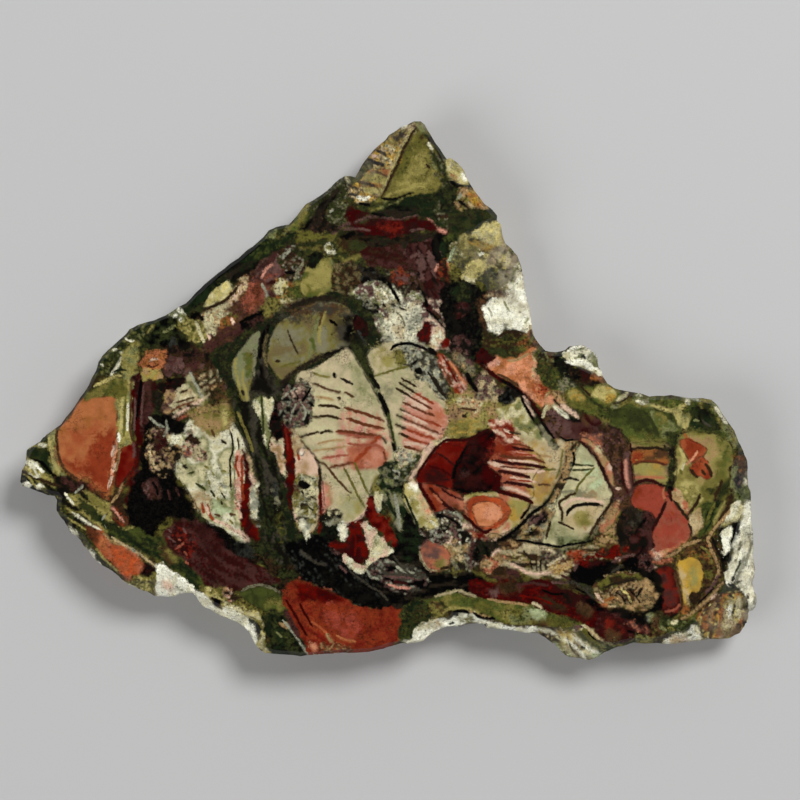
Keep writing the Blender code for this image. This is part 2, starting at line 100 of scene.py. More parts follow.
# The markings, from the lowest to the highest, one to a row, in pixels of the photograph. A patch is its
# style, after a stroke the direction of its streaks in degrees, the colours that drift into each other in
# it, and its outline. A line is its half width, after a stroke how soft its edge is where that differs, its
# colour, and its middle line; lines alike in all of these stand in one row, with strokes between them. A
# row that starts with a space goes on with the row before it.
MARKINGS = """
# The left tip.
mottled/32 soot moss khaki straw: 14,470 30,440 60,418 74,424 66,440 62,470 84,486 108,500 134,512 150,560
 130,600 60,560 44,500 14,495
plain pine moss: 30,450 45,446 50,455 53,468 57,478 45,474 38,464 30,458
mottled moss straw bone: 38,443 46,436 50,440 50,450 40,448
plain khaki butter sage: 46,434 53,431 56,440 56,450 61,470 65,477 57,474 52,464
1.4 butter: 49,438 53,459 57,470
1.6 umber: 22,470 34,477 46,482 58,485 70,485 80,483
1.5 black: 33,459 42,463 50,472 60,479 70,482
streaked/35 butter umber straw khaki bone: 28,461 36,462 42,467 46,474 42,478 35,477 29,473 26,468
1.2 ivory: 34,463 43,472
plain ivory bone: 24,483 29,483 31,487 26,489
plain ivory bone: 34,487 40,485 43,488 38,491
1.0 straw: 28,476 36,487
mottled plum umber soot: 52,480 64,476 75,481 88,484 95,489 85,495 70,492 60,488
plain/35 khaki straw olive: 84,492 90,493 106,504 109,511 103,513 96,508 89,501
plain pine moss: 80,498 88,503 104,516 100,524 82,508
1.3 umber: 86,488 107,501
1.1 bone: 65,493 74,505
1.0 ash: 75,493 83,486
0.9 bone: 72,512 96,529
0.8 straw: 60,508 66,514 76,529
# The large orange wedge and the bands beside it.
smooth orange orange amber: 82,399 108,396 117,399 118,410 117,420 118,428 114,441 116,447 113,455 110,470
 109,488 107,494 102,492 96,485 86,477 80,481 69,474 63,466 60,458 57,434 60,428 70,416
hazy terracotta orange: 62,436 80,428 100,424 116,424 114,450 108,494 86,478 62,464
hazy rust brick: 94,440 116,430 112,470 107,494 86,474 76,474 62,462 70,460 86,464
1.2 brown: 74,408 64,420 57,431 58,452 61,462 66,470 74,477 82,481
mottled/55 brown brick umber: 108,498 118,490 124,500 128,515 130,528 120,526 112,514
1.0 pink: 112,507 124,522
1.1 tan: 123,483 118,494 111,503
smooth brick red crimson: 121,450 132,440 137,445 137,455 134,465 124,482 118,488 116,480
soft crimson maroon: 135,450 140,446 141,460 136,472 125,486 127,476 133,464
1.2 mauve: 131,442 134,448 134,457
1.3 peach: 120,434 114,455 112,472 108,489
1.4 blush: 115,446 112,456
1.5 blush: 116,463 114,471 / 112,477 109,486
0.9 tan: 121,441 116,472
streaked/88 straw khaki butter sage: 117,398 126,375 130,350 136,338 138,352 137,370 134,390 132,410 131,440
 124,446 118,442 118,415
1.6 butter: 121,404 122,418 119,441
1.0 olive: 126,380 125,410 124,436
1.1 bone: 128,403 127,430
0.9 brown: 131,378 131,405 130,430 132,440
1.4 ivory: 119,433 119,441
streaked/94 blood maroon plum soot maroon: 134,372 142,370 151,380 151,400 148,420 145,440 143,460 139,480
 135,500 131,515 126,505 128,487 135,470 139,455 138,440 134,430 132,410
1.4 black: 141,380 139,400 136,420
1.0 mauve: 145,384 142,405 141,425
1.6 blood: 138,418 138,440 137,456
0.9 mauve: 135,398 134,430
# The green and cream corner above them.
mottled pine moss olive sage moss: 94,366 101,354 110,348 132,328 142,322 155,318 162,314 164,322 156,330
 150,340 146,350 140,356 136,345 128,345 124,352 122,362 116,370 108,378 98,378 90,386 86,396 80,396
plain olive fern khaki: 84,396 92,389 108,380 116,377 125,378 127,386 125,396 118,400 108,397 86,400
1.3 butter: 94,386 113,377 121,376
1.3 bone: 111,375 122,359 121,352
1.5 butter: 103,383 108,379
plain sage straw khaki: 122,353 128,346 136,342 138,350 135,374 128,380 122,374 121,362
0.9 bone: 125,338 129,341 134,341
1.0 straw: 147,333 153,325
1.0 bone: 101,364 104,366
1.2 bone: 113,350 117,350
0.8 pine: 114,372 120,370 126,371
mottled black pine moss: 156,322 165,315 185,307 193,306 197,316 192,324 182,324 177,332 183,338 187,346
 180,350 172,346 165,350 158,346 148,350 144,342 152,332
1.5 sage: 163,333 174,326
1.0 bone: 174,310 180,309
1.5 slate: 170,347 173,338 176,346
mottled umber plum soot: 164,350 172,345 184,350 192,343 218,336 224,350 222,364 208,368 200,366 186,366
 184,374 172,376 163,374 162,358
plain black soot: 177,337 186,337 191,346 184,353 178,350
plain mauve plum mauve: 167,360 178,356 184,364 183,372 172,375 162,372
plain plum brown mauve: 187,364 202,362 204,370 197,376 193,386 186,381 183,372
mottled orange clay amber: 142,358 148,352 156,349 162,350 164,358 162,369 152,372 142,370
plain straw mustard tan: 143,371 161,370 161,377 153,381 144,381
0.8 sienna: 146,365 152,367 159,364
0.8 blush: 150,361 154,358 158,359
streaked/88 plum umber maroon: 144,382 154,382 157,395 152,415 146,425 144,405
mottled black maroon soot: 157,384 178,374 184,380 180,390 166,395 158,393
mottled char soot pine: 157,392 164,395 166,406 172,418 166,424 154,398
plain tan mauve brown: 165,394 172,391 177,396 170,415 164,408
# The cream wing with red stripes, and the ladder beside it.
plain sage dun celadon: 186,378 194,376 204,392 206,402 199,403 190,392
plain cream linen celadon sand: 176,394 182,385 190,387 201,402 206,406 200,408 190,406 182,410 173,412
 172,404
1.2/0.9 umber: 180,393 187,390
1.1 sienna: 172,411 182,405 194,401
1.3 blush: 172,418 195,404 207,396
1.2 dusk: 173,422 198,409
0.8 umber: 188,407 197,406 206,408
0.8 brown: 176,402 194,398
mottled umber moss brown: 196,370 208,366 222,366 228,385 228,402 218,408 208,406 206,396 198,386
1.2/1.1 sand: 199,378 205,374
1.1/1.1 beige: 200,384 206,380 / 204,399 209,394
1.2/1.1 beige: 201,391 207,387 / 211,377 211,371
1.0/1.1 beige: 210,383 215,380 / 217,370 221,381
1.0/1.1 tan: 212,388 216,385
1.2/1.1 ash: 190,372 196,386 203,398
1.5/1.2 mauve: 225,385 230,391 235,402
plain umber moss: 206,404 216,406 224,402 230,408 222,411 210,411
# The black ground left of the cream cell, and the cell with its red streak.
mottled black black soot black: 144,436 150,418 166,414 186,420 200,430 196,440 180,440 172,452 176,470
 182,486 190,500 196,520 210,522 228,532 244,548 262,562 236,566 204,544 184,520 164,524 150,540 134,530
 126,520 126,504 130,486 138,470
mottled soot tan sand mauve: 147,434 158,426 168,430 174,440 168,452 175,466 168,476 158,474 150,468 146,450
mottled maroon plum umber: 156,432 162,430 167,440 164,452 158,456 155,445
1.2 ash: 149,417 156,423 164,427
1.0 ash: 166,420 167,430 164,437
1.3 sand: 150,448 151,458 156,468
mottled mauve maroon umber plum: 144,483 151,479 158,483 161,490 159,498 152,500 146,497 142,490
1.0 black: 152,482 156,488 158,495
0.9 plum: 168,490 170,500 / 176,488 180,496
specked cream bone sage cream: 176,436 184,428 188,420 200,414 215,412 228,418 238,430 245,444 247,456
 246,470 245,500 241,530 258,550 252,554 228,533 206,520 200,512 194,500 182,482 175,474 176,462 172,448
soft khaki tan olive: 188,410 212,406 224,402 232,414 230,428 218,434 204,432 192,424
soft butter khaki: 219,408 226,408 230,418 226,430 221,420
soft tan khaki: 206,420 220,420 222,430 214,438 206,432
plain bone cream: 167,436 174,433 181,437 180,446 172,444
mottled bone blush stone: 182,430 190,428 198,430 194,437 184,436
plain black soot: 174,425 182,423 185,430 180,434 174,432
mottled umber maroon char: 184,438 190,433 202,440 198,446 192,443 186,443
mottled mauve clay umber blush beige: 183,446 192,442 207,453 205,461 188,457 182,452
plain umber char: 202,452 208,452 206,457
soft beige tan linen: 192,492 204,492 212,506 206,514 198,510
soft sage cream: 178,468 190,466 197,476 192,487 184,481
soft mint sage: 229,484 236,482 237,498 230,500
soft mint sage: 212,500 224,499 230,508 224,514 213,510
mottled soot umber tan: 176,446 182,450 180,464 174,462 168,456 170,448
plain black char: 176,455 180,455 181,461 177,462
plain black char: 182,465 186,465 186,469 182,469
1.2 char: 222,440 226,444
1.2 brown: 212,430 214,436
1.0 moss: 190,473 194,472
1.1 moss: 196,484 206,490
1.0 khaki: 212,472 214,475 / 222,470 226,471
plain stone ash: 218,482 226,483 228,489 224,490 220,486
1.0 moss: 211,491 215,497
0.9 moss: 222,493 225,498
0.9 char: 221,501 222,504 / 230,430 233,442 233,452 230,462 231,490
1.0 khaki: 217,497 219,500
0.9 khaki: 204,466 208,468 / 208,480 210,485 / 229,520 233,524
1.0 brown: 215,514 220,516
1.2 brown: 230,514 236,515
0.8 umber: 238,438 239,448 236,458
0.7 stone: 234,462 235,480 235,498
plain blush pink: 237,456 242,452 243,480 242,520 237,506 236,480
1.1 rust: 237,456 236,466 239,476
mottled pink brick blush: 232,500 240,500 242,512 236,512
plain blush tan sand: 248,455 253,455 256,470 254,490 250,508 247,490
plain crimson blood maroon: 243,452 247,452 250,480 250,500 251,515 253,525 266,538 263,546 257,551 250,544
 242,525 241,505 242,480
plain crimson blood: 252,530 258,530 262,536 258,543 253,537
1.2 rust: 242,455 242,475 243,500
plain bone cream bone ash: 252,487 260,483 266,492 262,516 258,521 253,516 250,510
plain brown olive: 255,489 260,491 259,495 255,494
plain char soot: 258,509 262,510 261,514 258,513
plain bone cream ash: 262,523 268,519 274,527 273,537 268,542 263,545 266,534 254,526
2.0 blush: 238,530 261,554
1.2 rust: 202,503 204,513
1.3 rust: 207,505 210,515 214,521
1.2 blush: 206,506 209,514
1.4 blush: 214,521 226,525 236,532
# The lower left edge: green bands, the orange lens and the white rind.
mottled moss olive soot: 55,500 70,512 84,524 96,540 110,556 124,572 140,582 158,592 150,600 120,584 90,560
 66,530
streaked/35 pine moss pine fern: 98,516 112,524 124,528 140,528 152,536 166,541 174,551 194,566 202,575
 206,590 196,590 172,570 146,554 134,548 120,543 108,534
soft khaki brown moss: 158,546 170,546 180,556 176,564 166,560
mottled black maroon soot: 143,561 150,563 158,570 152,577 141,574
mottled khaki moss butter olive: 138,574 148,577 155,572 159,578 160,590 158,598 150,596 126,584
plain terracotta clay terracotta: 88,530 95,527 101,530 112,541 128,549 141,560 143,565 141,572 138,577
 130,578 123,575 101,553 91,540
soft sienna umber: 86,528 96,528 100,536 98,546 92,542
soft terracotta flame terracotta: 112,548 124,550 136,562 137,572 126,572 114,560
soft orange terracotta: 98,536 104,538 108,548 104,550 99,544
1.0 tan: 103,533 110,540 120,545
0.9 straw: 96,548 102,556 118,572
0.9 bone: 76,514 86,522 101,530
0.9 ash: 102,520 105,515
1.0 sand: 112,537 122,544 142,556 158,569
1.2 ash: 132,549 135,552
0.8 moss: 80,530 96,548
0.8 straw: 68,518 86,530
plain ivory bone: 69,526 74,530 79,536 76,539 71,533
plain ivory bone: 80,539 84,543 88,550 85,551 81,545
plain ivory bone: 89,549 94,554 98,561 104,566 100,567 93,561 88,554
1.6 bone: 119,577 124,583 150,595
# The maroon lens above the white rind.
streaked/35 maroon plum blood maroon plum: 163,532 172,525 182,520 196,521 208,529 216,539 230,551 250,561
 268,571 282,580 276,590 262,589 230,593 216,590 205,584 198,572 173,551 165,540
soft maroon plum: 196,520 214,532 226,548 214,556 200,540
mottled maroon blood red plum: 170,534 180,526 192,532 194,550 188,562 176,552
1.0 dusk: 176,549 184,543
0.9 dusk: 178,539 180,541 / 184,552 187,555 / 185,561 188,564
0.9 mauve: 169,529 172,532 / 183,529 186,533
0.8 mauve: 168,536 175,542
# Below the cell: dark ground, the green lens and the rind along the lower left edge.
mottled umber soot black moss: 238,544 262,540 282,540 302,556 318,572 300,582 288,590 262,604 246,600
 232,590 262,586 282,580 262,566
soft slate black: 238,540 250,544 254,556 244,556 236,548
mottled olive moss khaki: 284,536 294,533 299,546 297,557 290,559 285,550
1.1 sand: 288,550 303,575
0.9 mauve: 296,560 301,570 308,580
mottled olive umber khaki: 200,586 215,587 242,595 250,602 275,613 284,610 284,618 270,624 262,617 250,612
 240,611 228,606 204,594
mottled tan rust blush umber: 224,590 234,592 241,597 236,602 226,598
smooth fern moss leaf: 240,593 248,588 258,586 268,587 276,591 282,597 288,606 283,612 276,613 266,611
 248,602 243,598
soft khaki leaf: 266,600 276,600 284,604 284,610 276,611 266,608
1.0 stone: 241,592 248,587 258,585 270,587 279,592
mottled cream khaki butter: 204,590 214,592 223,600 247,611 246,618 221,607
plain ivory ivory bone: 158,565 186,581 207,595 211,602 220,607 228,608 251,621 257,626 257,636 259,644
 263,653 263,664 240,640 220,628 205,618 196,610 186,604 170,606 158,606
soft blush ivory: 163,580 172,580 173,592 164,593
plain stone ash: 178,586 184,587 182,591 178,590
plain black umber: 212,597 217,598 222,602 221,606 215,604
plain butter cream khaki: 247,611 256,612 262,618 266,625 266,635 268,645 272,656 262,656 258,644 261,627
 256,621 249,616
1.3 black: 257,624 259,633
0.8 khaki: 253,617 260,624 264,632
mottled pine black soot moss: 264,616 280,612 288,615 296,624 308,648 314,660 290,664 268,660 270,645
plain pine moss: 273,627 280,630 281,640 276,641 272,634
plain mauve plum tan: 279,621 286,621 290,627 284,629
0.9 ash: 283,620 291,630 310,656
0.9 sage: 276,632 282,637
# The brick red field at the bottom.
plain brick red brick: 284,590 290,583 300,579 308,581 318,586 330,590 352,602 366,606 384,604 398,600
 410,604 406,616 400,628 394,644 380,650 360,654 340,656 325,658 314,662 302,638 291,616 282,598
soft crimson blood: 298,584 316,586 334,592 346,600 336,606 318,602 300,600
soft brick garnet: 326,604 350,608 360,620 356,636 336,638 324,626
streaked/40 brick rust red: 304,616 322,622 348,640 340,650 320,650 308,640
2.2 plum: 285,610 299,637
1.2 blood: 286,600 294,613 307,636
1.0 blood: 300,604 312,626
1.0 terracotta: 312,622 323,630 334,641
1.1 tan: 326,634 332,642
0.9 orange: 336,636 346,640 356,642
0.9 dusk: 299,577 312,581 322,586 334,590 344,595
soft clay peach: 310,644 316,644 318,649 313,649
mottled sienna tan brick brown: 320,644 350,644 352,650 336,652 322,652
1.0/0.9 bone: 312,656 326,656 338,653
# The upper left slope: a dark green edge over brown and pale patches that run up the slope.
mottled moss umber olive char moss: 176,306 200,288 230,262 262,238 290,222 310,198 340,178 372,148 412,120
 426,122 450,158 470,186 500,214 512,250 530,300 540,346 520,360 470,372 420,370 380,350 340,366 300,366
 262,350 220,352 196,346 180,330
streaked/-37 pine char moss black pine: 180,308 200,288 230,262 262,236 292,220 298,232 286,250 266,268
 248,280 226,284 208,300 192,312
streaked/-37 pine fern pine: 244,258 260,242 276,234 288,238 274,256 256,268
streaked/-30 soot black pine char: 226,276 240,264 256,260 264,264 254,276 236,284
1.3 black: 189,300 202,289 222,274 240,260 260,245
mottled sage char khaki moss: 266,236 276,228 290,224 292,232 278,238
streaked/-48 brown plum mauve umber plum: 262,260 284,248 302,254 298,282 282,294 262,308 242,330 216,348
 202,348 212,330 228,302 244,280
hazy dusk sienna dusk: 244,290 254,282 264,286 266,298 256,308 244,308
streaked/-45 mauve dusk plum mauve: 262,278 270,266 282,258 288,264 280,276 268,284
1.5 maroon: 268,283 276,281 284,275
1.3 pink: 262,277 266,270 272,265
plain primrose cream butter: 205,303 220,286 227,281 233,287 230,295 222,301 212,305
mottled sand blush tan brown: 228,308 236,284 244,278 248,284 234,306
mottled cream tan sand amber cream: 196,326 204,312 214,306 226,304 228,314 220,324 214,334 204,334
1.4 umber: 203,311 222,302 232,294 238,286
mottled amber brown olive: 218,326 226,316 234,314 234,324 224,332
streaked/80 khaki butter olive moss straw: 178,320 190,318 200,322 206,332 204,342 196,342 186,334
mottled black umber: 188,314 198,312 203,319 194,322
1.5 cream: 196,322 204,342
1.4 cream: 213,332 217,340
1.3 blush: 208,334 211,342
1.4 blush: 231,318 234,326
mottled ivory ash sage: 168,313 177,307 184,310 186,318 176,318
streaked/-35 soot plum char black: 234,330 246,318 264,310 276,316 264,330 246,344 234,354 224,352
1.8 black: 240,322 264,311
streaked/-35 plum brown umber plum: 212,336 226,328 240,324 238,338 226,352 204,350
mottled umber ash brown plum moss: 278,256 288,244 306,248 312,262 300,280 288,282 282,270
1.5 ash: 282,258 290,249
1.7 black: 286,272 295,273
1.5 stone: 295,278 303,262
mottled amber straw umber olive cream: 272,290 280,280 290,282 298,296 292,308 280,302
1.5 butter: 283,290 287,282
1.7 butter: 286,299 292,305
mottled fern leaf moss khaki: 290,288 302,280 316,294 304,302 292,300
1.2 ash: 262,284 266,291 268,300
mottled khaki moss char khaki: 264,300 274,298 282,308 276,320 264,316
smooth leaf olive straw straw khaki: 300,284 305,268 314,261 322,258 330,258 335,266 338,277 333,287 327,293
 318,298 308,299 302,293
hazy straw straw khaki: 314,268 328,262 336,276 326,290 314,286
1.1/1.2 sage: 331,261 336,270 336,282 330,291
mottled black pine soot: 306,252 316,248 324,254 320,262 310,266
plain dun stone brown: 262,330 270,318 284,306 298,300 320,299 340,300 354,308 358,326 350,346 300,364
 268,354
soft umber brown moss: 298,302 330,296 348,290 352,306 330,308
# The upper middle: dark red bands under the tip.
streaked/-8 olive moss umber khaki moss: 298,232 316,226 340,228 368,234 372,246 362,258 346,264 336,258
 320,254 302,252
mottled bone sage khaki: 324,248 330,244 337,248 336,257 328,256
soft moss umber: 340,236 364,238 366,250 346,254
1.6/1.2 khaki: 338,266 350,259 364,254
mottled umber brown moss char dun: 332,266 350,262 364,268 362,288 350,302 332,296
streaked/12 plum maroon umber maroon: 360,254 374,243 396,240 412,246 414,264 404,272 388,268 372,266
streaked/-3 soot umber pine char: 362,238 384,234 410,232 434,232 434,244 414,250 392,244 370,248
streaked/75 plum maroon soot maroon mauve: 404,248 424,240 440,238 444,258 440,280 428,292 414,286 408,268
1.3/1.0 mauve: 411,258 417,254 424,257
streaked/80 black soot: 434,234 446,230 454,236 442,248 444,264 436,264 432,248
streaked/80 pine black fern: 442,242 452,232 456,244 448,262 441,260
streaked/-3 black umber soot: 340,236 356,231 378,234 372,240 352,240
plain blood blood maroon: 352,227 364,221 378,218 392,218 402,220 422,217 450,231 440,235 428,231 416,231
 394,237 380,236
soft blood red blood: 378,224 400,224 402,233 384,233
1.2/1.0 mauve: 352,223 366,218 378,216 392,218 402,218 412,215 424,214 433,219
1.5/0.9 pink: 428,218 434,221 438,226
1.6/0.9 pink: 438,229 446,233
1.1/0.9 mauve: 410,231 418,229 424,230
1.4/1.2 mauve: 332,234 341,227 352,222
1.1/1.0 mauve: 344,230 358,228 370,231
plain blood blood maroon: 343,211 352,206 369,214 362,218 352,221 343,219
mottled black soot slate char: 360,266 372,266 384,274 394,286 388,294 376,288 364,284
mottled char umber stone char: 386,270 408,284 424,290 418,298 400,296 388,290
mottled umber char mauve black: 406,266 424,284 430,300 418,300 408,288
mottled mauve brick plum rust: 392,272 400,267 409,272 410,281 402,285 395,281
1.7/1.0 mauve: 411,274 414,275
streaked/60 maroon plum soot: 424,284 438,278 452,284 454,300 440,304 428,300
mottled maroon brown brick umber: 432,270 440,262 452,260 458,268 452,278 440,280
1.4/1.0 clay: 447,262 451,271
1.2/1.0 pink: 435,271 438,264
# The speckled grey and white ground.
mottled sage ash stone bone mauve: 350,296 362,284 376,282 388,288 398,298 410,292 422,298 426,308 432,318
 442,330 438,344 424,352 404,352 388,348 378,338 372,324 362,318 352,310
mottled stone char ash black: 344,302 356,294 370,298 378,312 368,320 352,316
mottled beige sage ash bone: 376,290 392,286 402,296 396,306 382,306
hazy linen bone ash: 384,322 404,302 424,304 430,324 424,342 400,348 386,340
2.0 black: 375,304 379,307
1.3 black: 383,304 386,306
1.9 black: 363,309 366,312
1.5 black: 374,311 378,312
1.1 soot: 392,304 395,306
1.6 black: 388,282 400,304
1.1 char: 400,308 405,310
1.3/1.0 bone: 380,289 386,297
0.8 stone: 396,312 402,318 405,326
mottled blush mauve bone mauve: 424,302 436,300 446,308 458,338 450,348 436,348 426,330
streaked/45 umber plum maroon: 422,300 430,304 438,312 444,322 426,312
1.4 black: 427,310 443,326 448,333
1.8 black: 425,300 427,306
plain maroon crimson maroon: 420,326 426,321 433,326 432,337 428,345 421,343 416,335
plain crimson red maroon: 439,338 444,330 450,338 450,348 441,347
plain blush sand bone: 430,345 434,333 440,327 444,333 440,345 434,351
# Black ground and cream patches on the right of the tip.
mottled black soot pine char black: 440,304 450,282 470,280 488,286 490,304 484,318 494,344 494,354 470,364
 452,352 446,330
mottled black soot: 448,310 462,304 470,318 464,336 450,332
mottled maroon plum soot: 454,306 466,302 470,312 458,316
mottled pine soot moss: 452,286 466,284 470,300 456,304
mottled umber soot brown: 478,300 490,304 486,316 492,326 486,332 478,318
mottled plum mauve soot: 452,336 464,334 474,348 462,356 450,348
mottled khaki olive sage cream olive: 452,252 460,238 484,248 492,256 486,266 470,266 456,264
1.2/1.0 mint: 448,262 455,248
mottled olive umber moss khaki: 454,260 470,258 466,272 458,280 448,272
plain straw butter khaki: 460,236 465,230 469,238 468,248 462,254 458,247
plain primrose cream primrose: 468,232 481,223 488,220 497,220 502,227 505,244 499,248 492,248 484,242
 474,240
streaked/20 olive umber straw mustard: 467,241 476,240 488,246 497,249 486,254 474,252
mottled umber brown olive moss butter: 484,258 488,250 500,247 508,247 516,257 514,269 506,276 496,272
 488,266
2.0 umber: 512,254 513,262 511,270
1.5 cream: 507,253 508,259 505,266
1.5 sand: 492,259 495,264
1.4 ivory: 479,256 483,253
mottled bone cream khaki sage: 510,250 518,256 524,266 526,282 518,282 513,274 516,262
plain primrose straw butter: 463,275 468,265 474,260 482,261 488,266 481,281 472,282 466,280
1.5 cream: 464,277 471,281 480,281
mottled moss umber moss olive: 480,276 492,268 506,272 514,278 504,296 494,292 482,290 476,284
mottled khaki olive sand: 500,286 510,282 512,294 506,302 500,298
mottled brown sienna sand umber: 486,294 500,290 513,294 508,302 498,299 488,300
plain ivory ivory bone: 483,311 490,302 491,297 508,300 512,291 512,283 518,278 526,275 532,305 536,336
 511,329 502,331 498,336 492,331 487,322
soft bone ivory sage: 508,284 516,282 516,296 508,306
1.0 sage: 504,302 507,308 510,311
0.9 ash: 488,308 492,316
0.9 sage: 524,324 528,318
1.2 stone: 504,326 508,325
mottled sand tan bone: 522,329 531,324 537,337 529,336
streaked/15 moss umber pine olive umber: 484,332 498,337 511,331 522,334 534,340 544,350 530,356 512,356
 494,354 482,346
1.4 umber: 498,337 511,331 524,334 536,342
# The tip: olive triangle, ribbed band on its left flank, dark green foot.
plain khaki olive khaki olive: 406,144 415,130 424,124 431,136 448,160 450,174 450,186 438,192 424,195
 408,196 392,199 376,204 390,178 398,160
soft umber olive: 410,140 416,130 424,126 426,134 416,146
streaked/-60 olive moss olive: 398,164 404,148 412,146 410,164 402,176 394,182
hazy khaki straw khaki: 392,192 406,172 420,150 432,168 430,186 410,192
mottled moss stone char olive: 430,140 440,148 450,164 454,186 440,192 436,172
streaked/55 pine moss char: 424,132 434,138 444,152 438,156
1.4/0.9 bone: 429,143 432,149
1.1/1.0 sage: 432,164 436,170
1.0 umber: 426,164 430,168
1.2/1.2 straw: 384,197 398,191 412,188 424,187
streaked/50 stone olive brown sage: 410,122 424,121 429,130 420,134 412,130
mottled gold brown butter umber gold sand: 344,190 353,181 364,162 380,142 388,134 397,128 406,124 415,126
 412,134 397,161 389,181 384,190 378,197 368,201 348,198
mottled mustard olive straw umber: 380,144 392,132 406,130 400,144 388,150
streaked/-50 moss olive pine: 350,184 360,168 368,158 374,168 366,176 358,182
streaked/12 amber mustard umber butter straw: 362,186 368,172 382,168 392,172 384,190 370,196
1.8 soot: 368,161 384,166
1.4 umber: 374,150 382,153 387,158 / 350,186 358,189
1.3/0.9 blush: 370,156 378,158
1.2/0.9 cream: 384,158 392,162 / 346,176 349,183 / 386,146 394,150
1.0 brown: 374,172 382,174 388,178
1.5 umber: 358,182 376,187
1.3 char: 348,194 358,196
1.2 umber: 392,137 398,141
1.7/0.9 ivory: 357,197 363,199 370,197
2.0/1.2 butter: 372,190 378,192
1.3/0.9 ivory: 399,128 406,126
1.4/1.0 butter: 412,129 399,154 388,181 382,192
1.5/1.1 umber: 416,128 404,148 394,172 381,197
streaked/-15 moss sage khaki moss: 370,209 384,203 396,201 408,196 402,204 374,213
1.2 black: 382,199 394,199 404,195 413,193
1.4 black: 360,203 370,205
streaked/-5 pine soot moss pine: 396,203 410,195 428,195 444,189 456,186 462,196 454,222 442,230 434,221
 422,214 408,216 394,216 374,214
streaked/3 black soot pine char: 380,210 412,204 416,212 400,218 370,216
mottled umber stone moss: 434,208 450,204 456,222 444,228
mottled pine char soot black moss: 438,190 454,186 460,204 448,214 438,206
plain butter cream straw butter: 447,163 452,158 458,161 464,169 468,178 470,186 462,186 450,178
1.2/1.0 straw: 454,166 459,173
1.4/0.9 ivory: 462,174 466,181
1.0/0.9 amber: 451,174 457,180
1.8 black: 450,182 458,186 471,187
mottled tan umber sand brown khaki: 457,190 466,187 475,190 483,198 488,208 480,212 468,213 458,210 456,200
soft mustard amber gold: 468,194 474,192 482,200 482,208 474,206
1.2/1.0 sand: 468,202 474,208
1.2/0.9 ash: 458,198 462,193
1.5 black: 459,200 469,209
streaked/-8 pine moss char moss: 448,214 462,210 488,208 496,212 500,218 494,223 484,223 478,228 470,232
 458,234 448,230
soft olive umber moss: 482,214 494,212 498,219 486,222
plain olive khaki leaf: 288,226 296,213 310,199 318,197 314,207 304,224 298,231 290,231
soft straw khaki: 298,214 304,206 310,207 304,219
1.1 umber: 291,224 298,211 306,202
mottled moss char stone moss: 308,204 325,192 331,185 341,178 348,184 347,196 338,203 328,204 318,213
 304,229 308,214
streaked/-45 black soot char: 316,208 325,200 335,188 340,193 322,216 316,225 308,231 300,230 310,219
mottled char plum umber soot: 318,216 330,208 342,214 338,227 320,231 310,229
mottled moss fern stone moss: 328,208 338,202 347,206 345,221 336,227 330,218
1.2 ash: 330,212 334,210
# The middle: the leaf, the smoky orb and the first striped cell.
mottled moss char pine: 212,350 240,336 266,318 300,300 350,296 380,330 400,400 404,470 380,520 330,560
 290,566 262,552 258,490 246,440 226,390 214,368
streaked/75 soot moss pine soot smoke: 244,372 262,372 280,378 292,376 276,404 262,396 256,402 260,424
 268,452 280,460 282,500 290,560 276,560 266,530 262,500 250,455 236,415 232,400
hazy moss smoke soot: 248,378 262,374 280,380 282,390 268,398 254,404 248,396
1.2 khaki: 237,412 244,426 253,452
smooth lichen stone khaki: 259,331 250,337 236,355 232,365 233,376 240,396 245,402 250,400 249,390 254,370
 260,340
soft olive leaf: 244,352 251,352 252,366 249,378 244,372
1.3/1.3 straw: 236,358 235,368 240,390
1.2/1.0 straw: 243,370 243,382 246,392 247,400
0.9/0.9 stone: 256,352 254,376
1.4 char: 242,390 244,395
crisp black char smoke: 261,333 265,326 270,324 265,346 262,352 264,364 268,372 262,380 258,370 258,350
1.8 black: 264,331 260,358
smooth stone khaki dun: 272,334 279,323 290,315 313,303 326,301 338,302 348,308 355,318 356,332 351,344
 336,352 310,364 300,371 282,381 276,375 270,366 267,356
1.3/1.2 dun: 268,334 265,345 264,356 267,366
hazy stone dun: 276,345 290,338 296,350 286,358 276,356
hazy smoke brown smoke: 280,318 300,306 318,302 336,302 346,312 330,318 312,315 296,322
hazy black soot smoke: 340,318 350,312 358,322 358,340 348,347 339,345 336,334
2.4/1.5 char: 288,308 300,303 314,299 334,298
1.8/1.5 sage: 319,318 315,328 309,358
1.3/1.2 straw: 326,312 322,322 319,334 320,344
1.8/1.4 leaf: 311,338 315,350
0.9/0.8 brown: 322,314 319,326
0.7/0.8 umber: 288,330 292,342 298,354
0.9/1.2 olive: 280,368 300,361
1.7/0.8 umber: 276,361 279,361
1.3 black: 329,320 337,325
crisp black maroon soot: 354,318 358,316 366,321 369,328 368,336 363,338 357,334 354,326
1.0/1.0 slate: 358,331 366,345
2.4/2.0 char: 281,383 302,367 332,353 350,349
1.3/0.8 soot: 324,355 350,348
smooth linen celadon linen: 350,350 340,352 313,369 300,372 296,380 303,386 309,394 311,404 309,421 292,430
 297,437 314,455 319,462 321,475 325,505 330,513 336,519 344,524 353,522 361,516 367,508 370,490 374,482
 380,474 393,462 394,455 388,425 385,415 376,396 366,376
hazy linen cream: 316,380 332,382 350,398 350,408 330,412 314,408
hazy linen cream: 312,422 330,422 340,430 330,446 312,444 304,434
hazy celadon sage: 354,360 362,372 372,390 378,406 370,406 360,390 352,374
hazy pink linen coral: 346,410 362,414 382,422 390,434 390,448 384,460 366,466 348,466 330,464 324,457
 342,440 340,424
soft dusk clay: 348,450 358,445 374,444 386,450 388,460 382,469 364,470 354,467 348,460
soft coral clay: 368,452 378,450 385,458 380,466 366,465
soft cream celadon: 362,471 376,471 382,470 366,488 360,480
1.1/0.9 khaki: 313,373 321,376 329,377
1.7 black: 333,373 335,377
